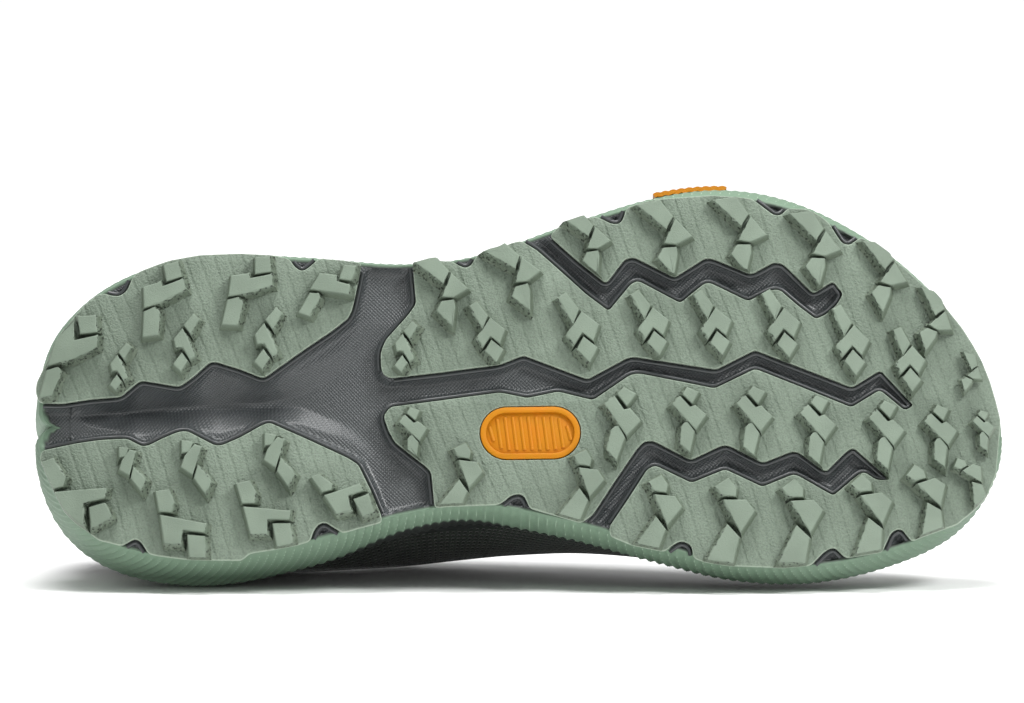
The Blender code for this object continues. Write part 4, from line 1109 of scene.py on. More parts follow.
def dress(item, node, sharp=35):
    """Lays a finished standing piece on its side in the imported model's place and hands it to the frame."""
    mesh = item.data
    store(mesh, "shoe_place", corners_of(mesh), "FLOAT_VECTOR")
    mesh.transform(LYING)
    for vertex in mesh.vertices:
        vertex.co.z = max(vertex.co.z, 0.0)
    mesh.shade_smooth()
    if sharp:
        mesh.set_sharp_from_angle(angle=math.radians(sharp))
    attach(item, "root")
    if node:
        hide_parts(node)
    return item


def mesh_from(name, points, faces):
    """A mesh whose faces all point out."""
    shape = bmesh.new()
    corners = [shape.verts.new(point) for point in points]
    for face in faces:
        shape.faces.new([corners[k] for k in face])
    turn_out(shape)
    return mesh_of(name, shape)


def side_faces(columns, rows, wrap_columns=False, wrap_rows=False):
    """The faces between points that run column by column, joined end to end where they wrap."""
    faces = []
    for k in range(columns if wrap_columns else columns - 1):
        here = k * rows
        there = (k + 1) % columns * rows
        for j in range(rows if wrap_rows else rows - 1):
            after = (j + 1) % rows
            faces.append((here + j, there + j, there + after, here + after))
    return faces


def closed_run(name, grid):
    """A closed mesh through sections, each a ring of points, with a face over either end."""
    rows = len(grid[0])
    points = [point for column in grid for point in column]
    ends = [tuple(range(rows)), tuple(range(len(points) - rows, len(points)))]
    return mesh_from(name, points, ends + side_faces(len(grid), rows, wrap_rows=True))


def grid_mesh(name, grid, wrap_columns=False, wrap_rows=False):
    """A surface through a grid of points, column by column, joined end to end where it wraps."""
    points = [point for column in grid for point in column]
    mesh = bpy.data.meshes.new(name)
    mesh.from_pydata(points, [], side_faces(len(grid), len(grid[0]), wrap_columns, wrap_rows))
    return mesh


def rounded(points, radius, steps=4, closed=True):
    """A run of plan points with each corner eased into a short curve."""
    eased = []
    count = len(points)
    for k, point in enumerate(points):
        if not closed and k in (0, count - 1):
            eased.append(point.copy())
            continue
        before = points[k - 1]
        after = points[(k + 1) % count]
        back = before - point
        ahead = after - point
        first = point + back.normalized() * min(radius, back.length * 0.45)
        last = point + ahead.normalized() * min(radius, ahead.length * 0.45)
        for step in range(steps + 1):
            part = step / steps
            eased.append(first * (1 - part) ** 2 + point * 2 * part * (1 - part) + last * part ** 2)
    return eased


def pod_points(name):
    """A pod's corners on the plan, in order round it."""
    return [on_tread(*pixel) for run in PODS[name] for pixel in PIXELS[run]]


def curve_mesh(name, runs, closed, merge, **settings):
    """A mesh from a curve through runs of points, with the curve's own settings and its doubled points merged."""
    curve = bpy.data.curves.new(name, "CURVE")
    for key, value in settings.items():
        setattr(curve, key, value)
    for run in runs:
        spline = curve.splines.new("POLY")
        spline.points.add(len(run) - 1)
        for spot, point in zip(spline.points, run):
            spot.co = (*point.to_3d(), 1)
        spline.use_cyclic_u = closed
    source = link_object(name, curve)
    mesh = evaluated_mesh(source)
    bpy.data.objects.remove(source)
    with editing(mesh) as shape:
        bmesh.ops.remove_doubles(shape, verts=shape.verts, dist=merge)
        turn_out(shape)
    return mesh


def filled_sheet(name, outlines, low, high, edge):
    """A flat sheet over outlines, the first round it and the others round its holes, with rounded edges."""
    mesh = curve_mesh(name, outlines, True, SHEET_MERGE, dimensions="2D", fill_mode="BOTH",
                      extrude=(high - low) / 2 - edge, bevel_depth=edge, bevel_resolution=1, offset=-edge)
    mesh.transform(Matrix.Translation((0, 0, (low + high) / 2)))
    with editing(mesh) as shape:
        for side in shape.edges:
            flats = [abs(face.normal.z) > 0.999 for face in side.link_faces]
            side.smooth = len(set(flats)) == 1
    return mesh


def cut_in_strips(mesh):
    """Cuts a flat sheet's faces across the shoe, so that it can bend to the heel bevel and the toe spring."""
    with editing(mesh) as shape:
        x = STRIP / 2
        while x < LENGTH:
            if ground(x - STRIP) > 0 or ground(x + STRIP) > 0:
                everything = list(shape.verts) + list(shape.edges) + list(shape.faces)
                bmesh.ops.bisect_plane(shape, geom=everything, dist=0.000001, plane_co=(x, 0, 0),
                                       plane_no=(1, 0, 0))
            x += STRIP


def bend_to_ground(mesh):
    """Lifts a piece that was made flat to the heel bevel and the toe spring."""
    places = corners_of(mesh)
    places[:, 2] += [ground(float(x)) for x in places[:, 0]]
    mesh.vertices.foreach_set("co", places.ravel())


def moved_out(outline, distances):
    """An outline whose sides are each moved out by their own distance."""
    count = len(outline)
    moved = []
    for k in range(count):
        before = (outline[k] - outline[k - 1]).normalized()
        after = (outline[(k + 1) % count] - outline[k]).normalized()
        first = Vector((before.y, -before.x))
        second = Vector((after.y, -after.x))
        turning = before.cross(after)
        if abs(turning) < STRAIGHT:
            moved.append(outline[k] + first * (distances[k - 1] + distances[k]) / 2)
            continue
        start = outline[k] + first * distances[k - 1]
        other = outline[k] + second * distances[k]
        reach = (other - start).cross(after) / turning
        longest = LONGEST_CORNER * max(abs(distances[k - 1]), abs(distances[k]), 0.0001)
        step = start + before * reach - outline[k]
        if step.length > longest:
            step = step.normalized() * longest
        moved.append(outline[k] + step)
    return moved


def lug_blocks(kind):
    """The flat tops of a lug's three blocks round its own middle, each with its corners in order."""
    shape = LUG_SHAPES[kind]
    blocks = []
    for corners in shape[1:]:
        outline = [Vector((px - shape.middle[0], (py - shape.middle[1]) / math.cos(VIEW_LEAN))) * PIXEL
                   for px, py in corners]
        area = sum(a.cross(b) for a, b in zip(outline, outline[1:] + outline[:1]))
        blocks.append(outline if area > 0 else outline[::-1])
    return blocks


def lug_sides(top, others, pitted):
    """A block's points round its top, and for each the lean of the side that follows and whether it is pitted."""
    size = sizes()
    block = []
    runs = []
    for start, end in zip(top, top[1:] + top[:1]):
        facing = Vector(((end - start).y, -(end - start).x)).normalized()
        lean = max(facing.dot(pitted.normalized()), 0)
        parts = max(int((end - start).length / size.knob_pitch), 1)
        for part in range(parts):
            middle = start.lerp(end, (part + 0.5) / parts)
            ahead = np.array([middle + facing * reach for reach in SLIT_REACHES])
            slit = any(plan_inside(ahead, other).any() for other in others)
            rough = lean > PITTED_LEAN and not slit
            block.append(start.lerp(end, part / parts))
            runs.append((0.0, 0.0) if slit else (size.lug_side + size.pitted_side * lean, float(rough)))
    return block, runs


def lug_mesh(kind):
    """One lug: tapered blocks with rounded tops, steep at the slits and wider on their pitted side."""
    size = sizes()
    pitted = HEEL_PITTED if kind.startswith("heel") else FOREFOOT_PITTED
    blocks = lug_blocks(kind)
    soft = size.lug_round
    shape = bmesh.new()
    pits = shape.faces.layers.float.new("pitted")
    tops = shape.faces.layers.float.new("lug_top")
    shade = shape.verts.layers.float.new("foot_shade")
    random = np.random.default_rng(len(kind))
    for top, level in zip(blocks, BLOCK_LEVELS):
        block, runs = lug_sides(top, [other for other in blocks if other is not top], pitted)
        count = len(block)
        high = LUG_HEIGHT - level
        steps = (
            LugRing(0.0, -1.5 * soft, 0.0, 0.0, 0.0),
            LugRing(0.0, -soft, 0.0, 0.1, 0.0),
            LugRing(0.3 * soft, -0.3 * soft, 0.0, 0.4, 0.1),
            LugRing(soft, 0.0, 0.04, 0.8, 0.3),
            LugRing(0.55 * high, 0.0, 0.45, 1.0, 0.75),
            LugRing(0.88 * high, 0.0, 0.80, 1.0, 0.9),
            LugRing(high, 0.0, 1.05, 0.4, 1.0),
            LugRing(high + LUG_SINK, 0.0, 1.45, 0.0, 1.0),
        )
        rings = []
        for step in steps:
            outline = moved_out(block, [step.grow + step.lean * out for out, _ in runs])
            corners = []
            for point, (_, rough) in zip(outline, runs):
                knob = Vector(random.uniform(-1, 1, 2)) * (step.knob * size.knob) * rough
                corner = shape.verts.new((point.x + knob.x, point.y + knob.y, level + step.down))
                corner[shade] = step.shade
                corners.append(corner)
            rings.append(corners)
        shape.faces.new(rings[0])[tops] = 1.0
        shape.faces.new(rings[-1][::-1])
        for depth, (upper_ring, lower_ring) in enumerate(zip(rings, rings[1:])):
            for k in range(count):
                after = (k + 1) % count
                side = shape.faces.new((upper_ring[k], upper_ring[after], lower_ring[after], lower_ring[k]))
                side[pits] = runs[k][1] if depth > 1 else 0.0
                side[tops] = 1.0 if depth < 3 else 0.0
    turn_out(shape)
    return mesh_of(kind, shape)


def tree_node(tree, kind, settings=None, values=None):
    """Adds a node to a geometry tree: its settings first, then its inputs by name."""
    node = tree.nodes.new(kind)
    for key, value in (settings or {}).items():
        setattr(node, key, value)
    for key, value in (values or {}).items():
        if isinstance(value, bpy.types.NodeSocket):
            tree.links.new(value, node.inputs[key])
        else:
            node.inputs[key].default_value = value
    return node


def repeat_tree():
    """Puts a small object at every point of another, with the turn and size that the point holds."""
    tree = bpy.data.node_groups.get("repeat_on_places")
    if tree:
        return tree
    tree = bpy.data.node_groups.new("repeat_on_places", "GeometryNodeTree")
    sockets = {"Geometry": "Geometry", "Places": "Object", "Piece": "Object", "Size": "Float", "Material": "Material"}
    for name, kind in sockets.items():
        tree.interface.new_socket(name, in_out="INPUT", socket_type="NodeSocket" + kind)
    tree.interface.new_socket("Geometry", in_out="OUTPUT", socket_type="NodeSocketGeometry")
    given = tree_node(tree, "NodeGroupInput")
    places = tree_node(tree, "GeometryNodeObjectInfo", {}, {"Object": given.outputs["Places"]})
    piece = tree_node(tree, "GeometryNodeObjectInfo", {}, {"Object": given.outputs["Piece"]})
    turn = tree_node(tree, "GeometryNodeInputNamedAttribute", {"data_type": "FLOAT_VECTOR"}, {"Name": "turn"})
    size = tree_node(tree, "GeometryNodeInputNamedAttribute", {"data_type": "FLOAT"}, {"Name": "size"})
    scaled = tree_node(tree, "ShaderNodeMath", {"operation": "MULTIPLY"},
                       {0: size.outputs["Attribute"], 1: given.outputs["Size"]})
    copies = tree_node(tree, "GeometryNodeInstanceOnPoints", {}, {
        "Points": places.outputs["Geometry"], "Instance": piece.outputs["Geometry"],
        "Rotation": turn.outputs["Attribute"], "Scale": scaled.outputs[0],
    })
    real = tree_node(tree, "GeometryNodeRealizeInstances", {}, {"Geometry": copies.outputs["Instances"]})
    joined = tree_node(tree, "GeometryNodeJoinGeometry", {}, {"Geometry": given.outputs["Geometry"]})
    tree.links.new(real.outputs["Geometry"], joined.inputs["Geometry"])
    finished = tree_node(tree, "GeometryNodeSetMaterial", {}, {
        "Geometry": joined.outputs["Geometry"], "Material": given.outputs["Material"]})
    tree_node(tree, "NodeGroupOutput", {}, {"Geometry": finished.outputs["Geometry"]})
    return tree


def repeat(item, piece_mesh, places, turns, scales, finish, size=1.0):
    """Adds copies of a small mesh to an object, one at each place, and makes the result a plain mesh."""
    points = bpy.data.meshes.new("places")
    points.from_pydata([tuple(point) for point in places], [], [])
    store(points, "turn", turns, "FLOAT_VECTOR")
    store(points, "size", scales)
    holder = link_object("places", points)
    piece = link_object("piece", piece_mesh)
    tree = repeat_tree()
    changer = item.modifiers.new("repeat", "NODES")
    changer.node_group = tree
    values = {"Places": holder, "Piece": piece, "Size": size, "Material": finish_for(finish)}
    for socket in tree.interface.items_tree:
        if socket.in_out == "INPUT" and socket.name in values:
            changer[socket.identifier] = values[socket.name]
    applied(item)
    bpy.data.objects.remove(holder)
    bpy.data.objects.remove(piece)


def kept_on(outline, mesh):
    """Brings a mesh's points that reach past an outline back to it, so that lugs end flush with their sheet."""
    places = corners_of(mesh).astype(float)
    outside = np.flatnonzero(~plan_inside(places[:, :2], outline))
    places[outside, :2], _ = nearest_spots(places[outside, :2], segments_of(outline))
    mesh.vertices.foreach_set("co", places.astype(np.float32).ravel())


def outsole_pod(name):
    """A rubber pod: its sheet with rounded edges, and every lug on it."""
    low = LUG_HEIGHT
    outline = rounded(pod_points(name), POD_CORNER, 3)
    holes = [inlay_outline(CLEARANCE)] if name == "outsole_forefoot" else []
    sheet = filled_sheet(name, [outline] + holes, low, low + SHEET_THICKNESS, sizes().edge_round)
    cut_in_strips(sheet)
    # Marks the sheet's rounded edge, where the rubber's painted highlight goes
    store(sheet, "sheet_edge", corners_of(sheet)[:, 2] > low + 0.0001)
    lugs = link_object("lugs", bpy.data.meshes.new("lugs"))
    for kind, rows in LUGS[name].items():
        places = [on_tread(row.px, row.py, 0).to_3d() for row in rows]
        turns = [(0, 0, math.radians(row.turn)) for row in rows]
        repeat(lugs, lug_mesh(kind), places, turns, [row.size for row in rows], "rubber")
    kept_on(outline, lugs.data)
    item = link_object(name + "_rubber", joined_mesh(name, [sheet, lugs.data]), "rubber")
    bpy.data.objects.remove(lugs)
    bend_to_ground(item.data)
    dress(item, name, sharp=38)


def inlay_outline(grow=0.0):
    """The rounded bar of the inlay in the forefoot, on the plan."""
    radius = INLAY_WIDTH / 2 + grow
    half = INLAY_LENGTH / 2 - INLAY_WIDTH / 2
    centre = place(INLAY_ALONG, INLAY_ACROSS)
    outline = []
    for end in (1, -1):
        for k in range(17):
            angle = math.radians(-90 + 180 * k / 16)
            outline.append(centre + end * Vector((half + radius * math.cos(angle), radius * math.sin(angle))))
    return outline


def nearest_spots(points, segments):
    """The nearest spots on many segments to many plan points, and how far away they are."""
    away = np.full(len(points), 1.0)
    spots = points.copy()
    for start, end in segments:
        start = np.array(start)
        along = np.array(end) - start
        share = np.clip(((points - start) @ along) / max(along @ along, 1e-12), 0, 1)
        foot = start + share[:, None] * along
        distance = np.linalg.norm(points - foot, axis=1)
        closer = distance < away
        away[closer] = distance[closer]
        spots[closer] = foot[closer]
    return spots, away


def plan_inside(points, outline):
    """Which of many plan points lie inside an outline."""
    inside = np.zeros(len(points), bool)
    for start, end in zip(outline, outline[1:] + outline[:1]):
        crosses = (start.y > points[:, 1]) != (end.y > points[:, 1])
        if start.y != end.y:
            meets = start.x + (points[:, 1] - start.y) / (end.y - start.y) * (end.x - start.x)
            inside ^= crosses & (points[:, 0] < meets)
    return inside


def segments_of(outline):
    return list(zip(outline, outline[1:] + outline[:1]))


def zigzag_line(run):
    """A zigzag's place across the shoe at any place along it: two rising lists for interpolation."""
    points = sorted((on_tread(*pixel) for pixel in PIXELS[run]), key=lambda point: point.x)
    return [point.x for point in points], [point.y for point in points]


def groove_depths(points):
    """The depth of the heel's groove and the waist's hollow at many plan points."""
    x = points[:, 0]
    y = points[:, 1]
    lateral = np.interp(x, *zigzag_line("heel_lateral_zigzag"))
    medial = np.interp(x, *zigzag_line("heel_medial_zigzag"))
    levels = [midsole_bottom() + row.depth * GROOVE_DEPTH for row in GROOVE]
    upper_crease = [on_tread(row.px, row.lateral, level) for row, level in zip(GROOVE, levels)]
    lower_crease = [on_tread(row.px, row.medial, level) for row, level in zip(GROOVE, levels)]
    along = [point.x for point in upper_crease]
    crease_a = np.interp(x, along, [point.y for point in upper_crease])
    crease_b = np.interp(x, along, [point.y for point in lower_crease])
    deep = np.interp(x, along, [row.depth * GROOVE_DEPTH for row in GROOVE])
    from_lateral = np.clip((y - lateral) / np.maximum(crease_a - lateral, 0.001), 0, 1)
    from_medial = np.clip((medial - y) / np.maximum(medial - crease_b, 0.001), 0, 1)
    return deep * np.minimum(from_lateral, from_medial)


def core_depths(points):
    """How deep the foam's underside lies below its flat at many plan points."""
    size = sizes()
    pods = [pod_points(name) for name in PODS]
    covered = np.zeros(len(points), bool)
    for outline in pods:
        covered |= plan_inside(points, outline)
    _, away = nearest_spots(points, [pair for outline in pods for pair in segments_of(outline)])
    share = np.clip((away - 1.7 * size.bead) / size.trough_width, 0, 1)
    trough = size.trough_depth * (1 - (1 - share) ** 2.4)
    depth = np.maximum(trough, groove_depths(points) * np.clip((away - size.bead) / BEAD_FADE, 0, 1))
    return np.where(covered, 0.0, depth)


def smoothed(grid):
    """Evens out a grid of numbers with its neighbours."""
    padded = np.pad(grid, 1, mode="edge")
    return (padded[1:-1, 1:-1] * 4 + padded[:-2, 1:-1] + padded[2:, 1:-1]
            + padded[1:-1, :-2] + padded[1:-1, 2:]) / 8


def core_mesh():
    """The dark foam inside the sole: a fine underside with the groove, the waist and the channels in it."""
    columns = CORE_COLUMNS
    rows = CORE_ROWS
    outline = ring(rim_foot, 400)
    half = len(outline) // 2
    sides = (outline[:half + 1], [outline[0]] + outline[:half - 1:-1])
    first = min(point.x for point in outline)
    last = max(point.x for point in outline)
    grid = np.zeros((columns, rows, 2))
    for k in range(columns):
        along = 0.5 - 0.5 * math.cos(math.pi * (0.001 + 0.998 * k / (columns - 1)))
        share = 0.25 * along + 0.75 * (0.0005 + 0.999 * k / (columns - 1))
        x = first + (last - first) * share
        ends = [np.interp(x, [point.x for point in side], [point.y for point in side]) for side in sides]
        grid[k, :, 0] = x
        grid[k, :, 1] = np.linspace(*ends, rows)
    depth = smoothed(smoothed(core_depths(grid.reshape(-1, 2)).reshape(columns, rows)))
    lift = np.array([ground(float(x)) for x in grid[:, 0, 0]])[:, None]
    over = np.array([footbed(float(x)) for x in grid[:, 0, 0]])[:, None] + np.zeros((columns, rows))
    under = midsole_bottom() + depth + lift
    points = np.concatenate([np.dstack([grid, height]).reshape(-1, 3) for height in (under, over)])
    top = columns * rows
    border = ([j for j in range(rows)] + [k * rows + rows - 1 for k in range(1, columns)]
              + [(columns - 1) * rows + j for j in range(rows - 2, -1, -1)]
              + [k * rows for k in range(columns - 2, 0, -1)])
    faces = side_faces(columns, rows) + [(top + a, top + b, b, a) for a, b in segments_of(border)]
    for k in range(columns - 1):
        here = range(top + k * rows, top + (k + 1) * rows)
        there = range(top + (k + 1) * rows, top + (k + 2) * rows)
        first_side = list(here) if k == 0 else [here[0], here[-1]]
        last_side = list(there) if k == columns - 2 else [there[0], there[-1]]
        faces.append(first_side + last_side[::-1])
    mesh = bpy.data.meshes.new("midsole_core")
    mesh.from_pydata([tuple(point) for point in points], [], faces)
    with editing(mesh) as shape:
        bmesh.ops.delete(shape, geom=[one for one in shape.verts if not one.link_faces], context="VERTS")
        turn_out(shape)
    return mesh


def sideways(points, distance):
    """A run of plan points moved to its right-hand side."""
    moved = []
    for k, point in enumerate(points):
        before = points[k - 1] if k else point
        after = points[k + 1] if k < len(points) - 1 else point
        ahead = (after - before).normalized()
        moved.append(point + Vector((ahead.y, -ahead.x)) * distance)
    return moved


def tube_mesh(name, path, radius):
    """A round tube along points, with closed ends."""
    return curve_mesh(name, [path], False, TUBE_MERGE, dimensions="3D", bevel_depth=radius, bevel_resolution=2,
                      use_fill_caps=True)


def joined_mesh(name, meshes):
    """One mesh from several."""
    shape = bmesh.new()
    for mesh in meshes:
        shape.from_mesh(mesh)
    return mesh_of(name, shape)


def bead_runs():
    """Every stretch of pod edge that the foam's bead follows, on the plan."""
    runs = [[on_tread(*pixel) for name in names for pixel in PIXELS[name]] for names in BEADS]
    runs += [[on_tread(*pixel) for pixel in PIXELS[notch.run][notch.first:notch.last + 1]] for notch in NOTCHES]
    return runs


def trimmed(run, length):
    """A run of plan points without a length at either end."""
    kept = run
    for _ in range(2):
        left = length
        while len(kept) > 2 and (kept[1] - kept[0]).length < left:
            left -= (kept[1] - kept[0]).length
            kept = kept[1:]
        kept = [kept[0] + (kept[1] - kept[0]).normalized() * left] + kept[1:]
        kept = kept[::-1]
    return kept


def bead_meshes():
    """The rounded bead of foam that frames each pod."""
    size = sizes()
    height = midsole_bottom() - 0.35 * size.bead
    beads = []
    for run in bead_runs():
        eased = trimmed(rounded(run, BEAD_CORNER, 4, closed=False), 2 * size.bead)
        beside = sideways(eased, 1.35 * size.bead)
        path = [Vector((point.x, point.y, height + ground(point.x))) for point in beside]
        beads.append(tube_mesh("bead", path, size.bead))
    return beads


def midsole_core():
    """The charcoal foam, with its smooth bead round the rubber."""
    core = core_mesh()
    count = len(core.vertices)
    mesh = joined_mesh("midsole_core_foam", [core] + bead_meshes())
    store(mesh, "smooth_foam", np.arange(len(mesh.vertices)) >= count)
    dress(link_object("midsole_core_foam", mesh, "dark_foam"), "midsole_core", sharp=60)


def smooth_run(points, steps):
    """Samples a smooth curve through points, with their ends kept."""
    padded = [points[0] * 2 - points[1]] + list(points) + [points[-1] * 2 - points[-2]]
    return curve_side(padded, steps)[0]


def rib_lean(turn):
    """How the ribs lean as they rise: one way at the heel, upright half way, the other way at the toe."""
    side, share = side_of(turn)
    return -side * 0.8 * (1 - 2 * share)


def heel_notch(turn):
    """How far the sidewall turns in to meet itself at the heel's centre, in two round lobes."""
    share = min(side_of(turn)[1] * SIDE_LENGTH / LOBE_LENGTH, 1)
    return HEEL_NOTCH * (1 - math.sqrt(1 - (1 - share) ** 2))


def rim_foot(x):
    """How far in from the tread's edge the sidewall meets the dark foam."""
    return ledge(x) - CLEARANCE


def rim_section(turn):
    """The sidewall's section at one turn, from under its inner foot round its outer face to the top."""
    size = sizes()
    edge, outward = edge_at(turn)
    side, _ = side_of(turn)
    low = ground(edge.x) + midsole_bottom()
    high = sidewall_top(turn)
    along = edge.x / LENGTH
    flare = SIDEWALL_FLARE * through_rows(RIM_FLARE, "along", "lateral" if side == LATERAL else "medial", along)
    crown = through_rows(RIM_FLARE, "along", "crown", along)
    notch = heel_notch(turn)

    def outside(level, distance):
        plan = edge + outward * (distance - notch * (1 - level ** 2))
        return Vector((*plan, low + (high - low) * level))

    foot = rim_foot(edge.x)
    rise = rise_at_height(turn, high)
    lip_out = off_upper(turn, rise, LIP_GAP + LIP_THICKNESS)
    face = smooth_run([outside(0.0, -RIM_TUCK), outside(0.17, 0.60 * flare), outside(0.42, flare),
                       outside(0.70, (0.45 + 0.45 * crown) * flare), lip_out], FACE_STEPS)
    section = []
    for step in range(UNDER_STEPS, 0, -1):
        plan = edge - outward * (notch + RIM_TUCK + (foot - notch - RIM_TUCK) * step / UNDER_STEPS)
        section.append(Vector((*plan, ground(plan.x) + midsole_bottom())))
    crests = [0.0] * UNDER_STEPS
    phase = turn * SIDE_LENGTH / size.rib_pitch
    deep = size.rib_depth * (1.0 if side == MEDIAL else 0.35)
    for k, point in enumerate(face):
        level = k / (len(face) - 1)
        fade = min(level / 0.08, 1) * min(max((0.93 - level) / 0.10, 0), 1)
        lean = rib_lean(turn) * (point.z - low) / size.rib_pitch
        wave = 1 - abs(math.sin(math.pi * (phase + lean)))
        section.append(point + Vector((*outward, 0)) * deep * (wave - 0.4) * fade)
        # How near each point lies to a rib's crest, for the painted highlight there
        crests.append(wave * fade)
    inner_foot = edge - outward * foot
    section += [off_upper(turn, rise, LIP_GAP), Vector((*inner_foot, footbed(inner_foot.x)))]
    return section, crests + [0.0, 0.0]


def band_start(turn):
    """The share of the sidewall's height where charcoal begins: it comes down at the medial waist alone."""
    side, share = side_of(turn)
    return 1.15 - 0.72 * math.exp(-((share - 0.42) / 0.13) ** 2) * (side == MEDIAL)


def dark_bands(turn, inner, above):
    """How dark the sidewall is down its section: charcoal underneath, and over the band's start."""
    share = side_of(turn)[1]
    green = RIM_TUCK + 0.0026 * max(0, 1 - share * SIDE_LENGTH / 0.012)
    reach = rim_foot(inner.x) - heel_notch(turn)
    under = [min(max((reach * (UNDER_STEPS - j) / UNDER_STEPS - green) / 0.0004, 0), 1) for j in range(UNDER_STEPS)]
    starts = band_start(turn)
    return under + [min(max((j / (above - 1) - starts) / 0.05, 0), 1) for j in range(above)] + [1.0, 1.0]


def midsole_rim():
    """The ribbed sidewall all round the sole, parted at the heel's centre."""
    gap = 0.0001 / SIDE_LENGTH
    columns = round(2 * SIDE_LENGTH / sizes().rib_pitch * COLUMNS_TO_A_RIB)
    sections = []
    crests = []
    bands = []
    for k in range(columns + 1):
        turn = gap + (2 - 2 * gap) * k / columns
        section, crest = rim_section(turn)
        sections.append(section)
        crests += crest
        bands += dark_bands(turn, section[0], len(section) - UNDER_STEPS - 2)
    depth = core_depths(np.array([point.xy for section in sections for point in section[:UNDER_STEPS]]))
    for section, deep in zip(sections, depth.reshape(len(sections), UNDER_STEPS)):
        for j in range(UNDER_STEPS):
            inset = (UNDER_STEPS - j - 1) / UNDER_STEPS * ledge(section[j].x)
            section[j].z += deep[j] * min(inset / 0.0024, 1) ** 0.5
    mesh = closed_run("midsole_rim", sections)
    store(mesh, "rib_crest", crests)
    store(mesh, "dark_band", bands)
    item = link_object("midsole_rim_foam", mesh, "green_foam", "dark_foam")
    rows = len(sections[0])
    for face in mesh.polygons:
        under = max(corner % rows for corner in face.vertices) < UNDER_STEPS
        face.material_index = int(under and min(bands[corner] for corner in face.vertices) > 0.9)
    dress(item, "midsole_rim", sharp=60)


def sole_inlay():
    """A plain bar of orange rubber: a raised border round a field of cross ribs."""
    low = LUG_HEIGHT + CLEARANCE
    high = LUG_HEIGHT + SHEET_THICKNESS
    meshes = [filled_sheet("sole_inlay", [inlay_outline()], low + 0.0007, high, 0.0002),
              filled_sheet("border", [inlay_outline(), inlay_outline(-INLAY_BORDER)], low - 0.0004, high, 0.0003)]
    centre = place(INLAY_ALONG, INLAY_ACROSS)
    reach = INLAY_WIDTH / 2 - 0.0030
    for k in range(-5, 6):
        x = centre.x + k * INLAY_RIB_PITCH
        beyond = max(abs(k * INLAY_RIB_PITCH) - (INLAY_LENGTH - INLAY_WIDTH) / 2, 0)
        half = math.sqrt(max(reach ** 2 - beyond ** 2, 0))
        if half >= 0.001:
            path = [Vector((x + end * INLAY_RIB_RADIUS, centre.y + end * half, low + 0.0008)) for end in (-1, 1)]
            meshes.append(tube_mesh("rib", path, INLAY_RIB_RADIUS))
    item = link_object("sole_inlay_rubber", joined_mesh("sole_inlay_rubber", meshes), "orange")
    bend_to_ground(item.data)
    dress(item, "sole_inlay")


def thicken(item, thickness, offset):
    """Gives a surface a thickness, on its inner side where the offset is -1."""
    wall = item.modifiers.new("wall", "SOLIDIFY")
    wall.thickness = thickness
    wall.offset = offset


def side_tab():
    """The orange tab on the sidewall's crests, with small upright ribs."""
    columns = 60
    rows = 12
    grid = []
    for k in range(columns + 1):
        turn = TAB_TURNS[0] + (TAB_TURNS[1] - TAB_TURNS[0]) * k / columns
        edge, outward = edge_at(turn)
        low = ground(edge.x) + midsole_bottom()
        middle = low + 0.42 * (sidewall_top(turn) - low)
        rib = TAB_RIB * abs(math.sin(math.pi * 9 * k / columns))
        plan = edge + outward * (SIDEWALL_FLARE + 2 * CLEARANCE + 0.0004 + rib)
        grid.append([Vector((*plan, middle + TAB_HEIGHT * (j / rows - 0.35))) for j in range(rows + 1)])
    item = link_object("side_tab_rubber", grid_mesh("side_tab_rubber", grid), "orange")
    thicken(item, TAB_THICKNESS, -1)
    dress(applied(item), "side_tab")


def crease_depth(turn, rise):
    """Soft troughs where the forefoot flexes, a slight sag in the quarters and a fuller medial waist, outwards."""
    side, share = side_of(turn)
    flex = sum(math.exp(-((share - at) / 0.020) ** 2) for at in (0.70, 0.765, 0.82))
    low = math.exp(-((rise - 0.55) / 0.28) ** 2)
    quarter = math.exp(-((share - 0.30) / 0.07) ** 2) * math.exp(-((rise - 0.45) / 0.2) ** 2)
    full = math.exp(-((share - 0.38) / 0.14) ** 2) * math.exp(-((rise - 0.55) / 0.20) ** 2) * (side == MEDIAL)
    return -0.0011 * flex * low - 0.0012 * quarter * (side == LATERAL) + 0.0056 * full


def wall_thickness(turn, rise):
    """The upper's thickness: its wall, and more round the padded collar."""
    share = side_of(turn)[1]
    around = min(max((0.36 - share) / 0.10, 0), 1)
    up = min(max((rise - 0.5) / 0.3, 0), 1)
    return UPPER_WALL + (COLLAR_PADDING - UPPER_WALL) * around * up * 0.8


def upper_section(turn):
    """One closed section through the upper's wall: up its outer face, over a round lip and down its inner face."""
    rises = [j / UPPER_ROWS for j in range(UPPER_ROWS + 1)]
    outer = [off_upper(turn, rise, crease_depth(turn, rise)) for rise in rises]
    inner = [off_upper(turn, rise, crease_depth(turn, rise) - wall_thickness(turn, rise)) for rise in rises]
    normal = (outer[-1] - inner[-1]).normalized()
    half = (outer[-1] - inner[-1]).length / 2
    up = (outer[-1] - outer[-2]).normalized()
    middle = (outer[-1] + inner[-1]) / 2
    lip = [middle + normal * half * math.cos(angle) + up * half * math.sin(angle) * 0.8
           for angle in (math.pi * k / 8 for k in range(1, 8))]
    return outer + lip + inner[::-1]


def arch_wrap(turn, rise):
    """1 on the smooth charcoal wrap that runs up from the sole at the medial waist, 0 off it."""
    side, share = side_of(turn)
    top = 0.34 * math.exp(-((share - 0.44) / 0.14) ** 2)
    return min(max((top - rise) / 0.015, 0), 1) * (side == MEDIAL)


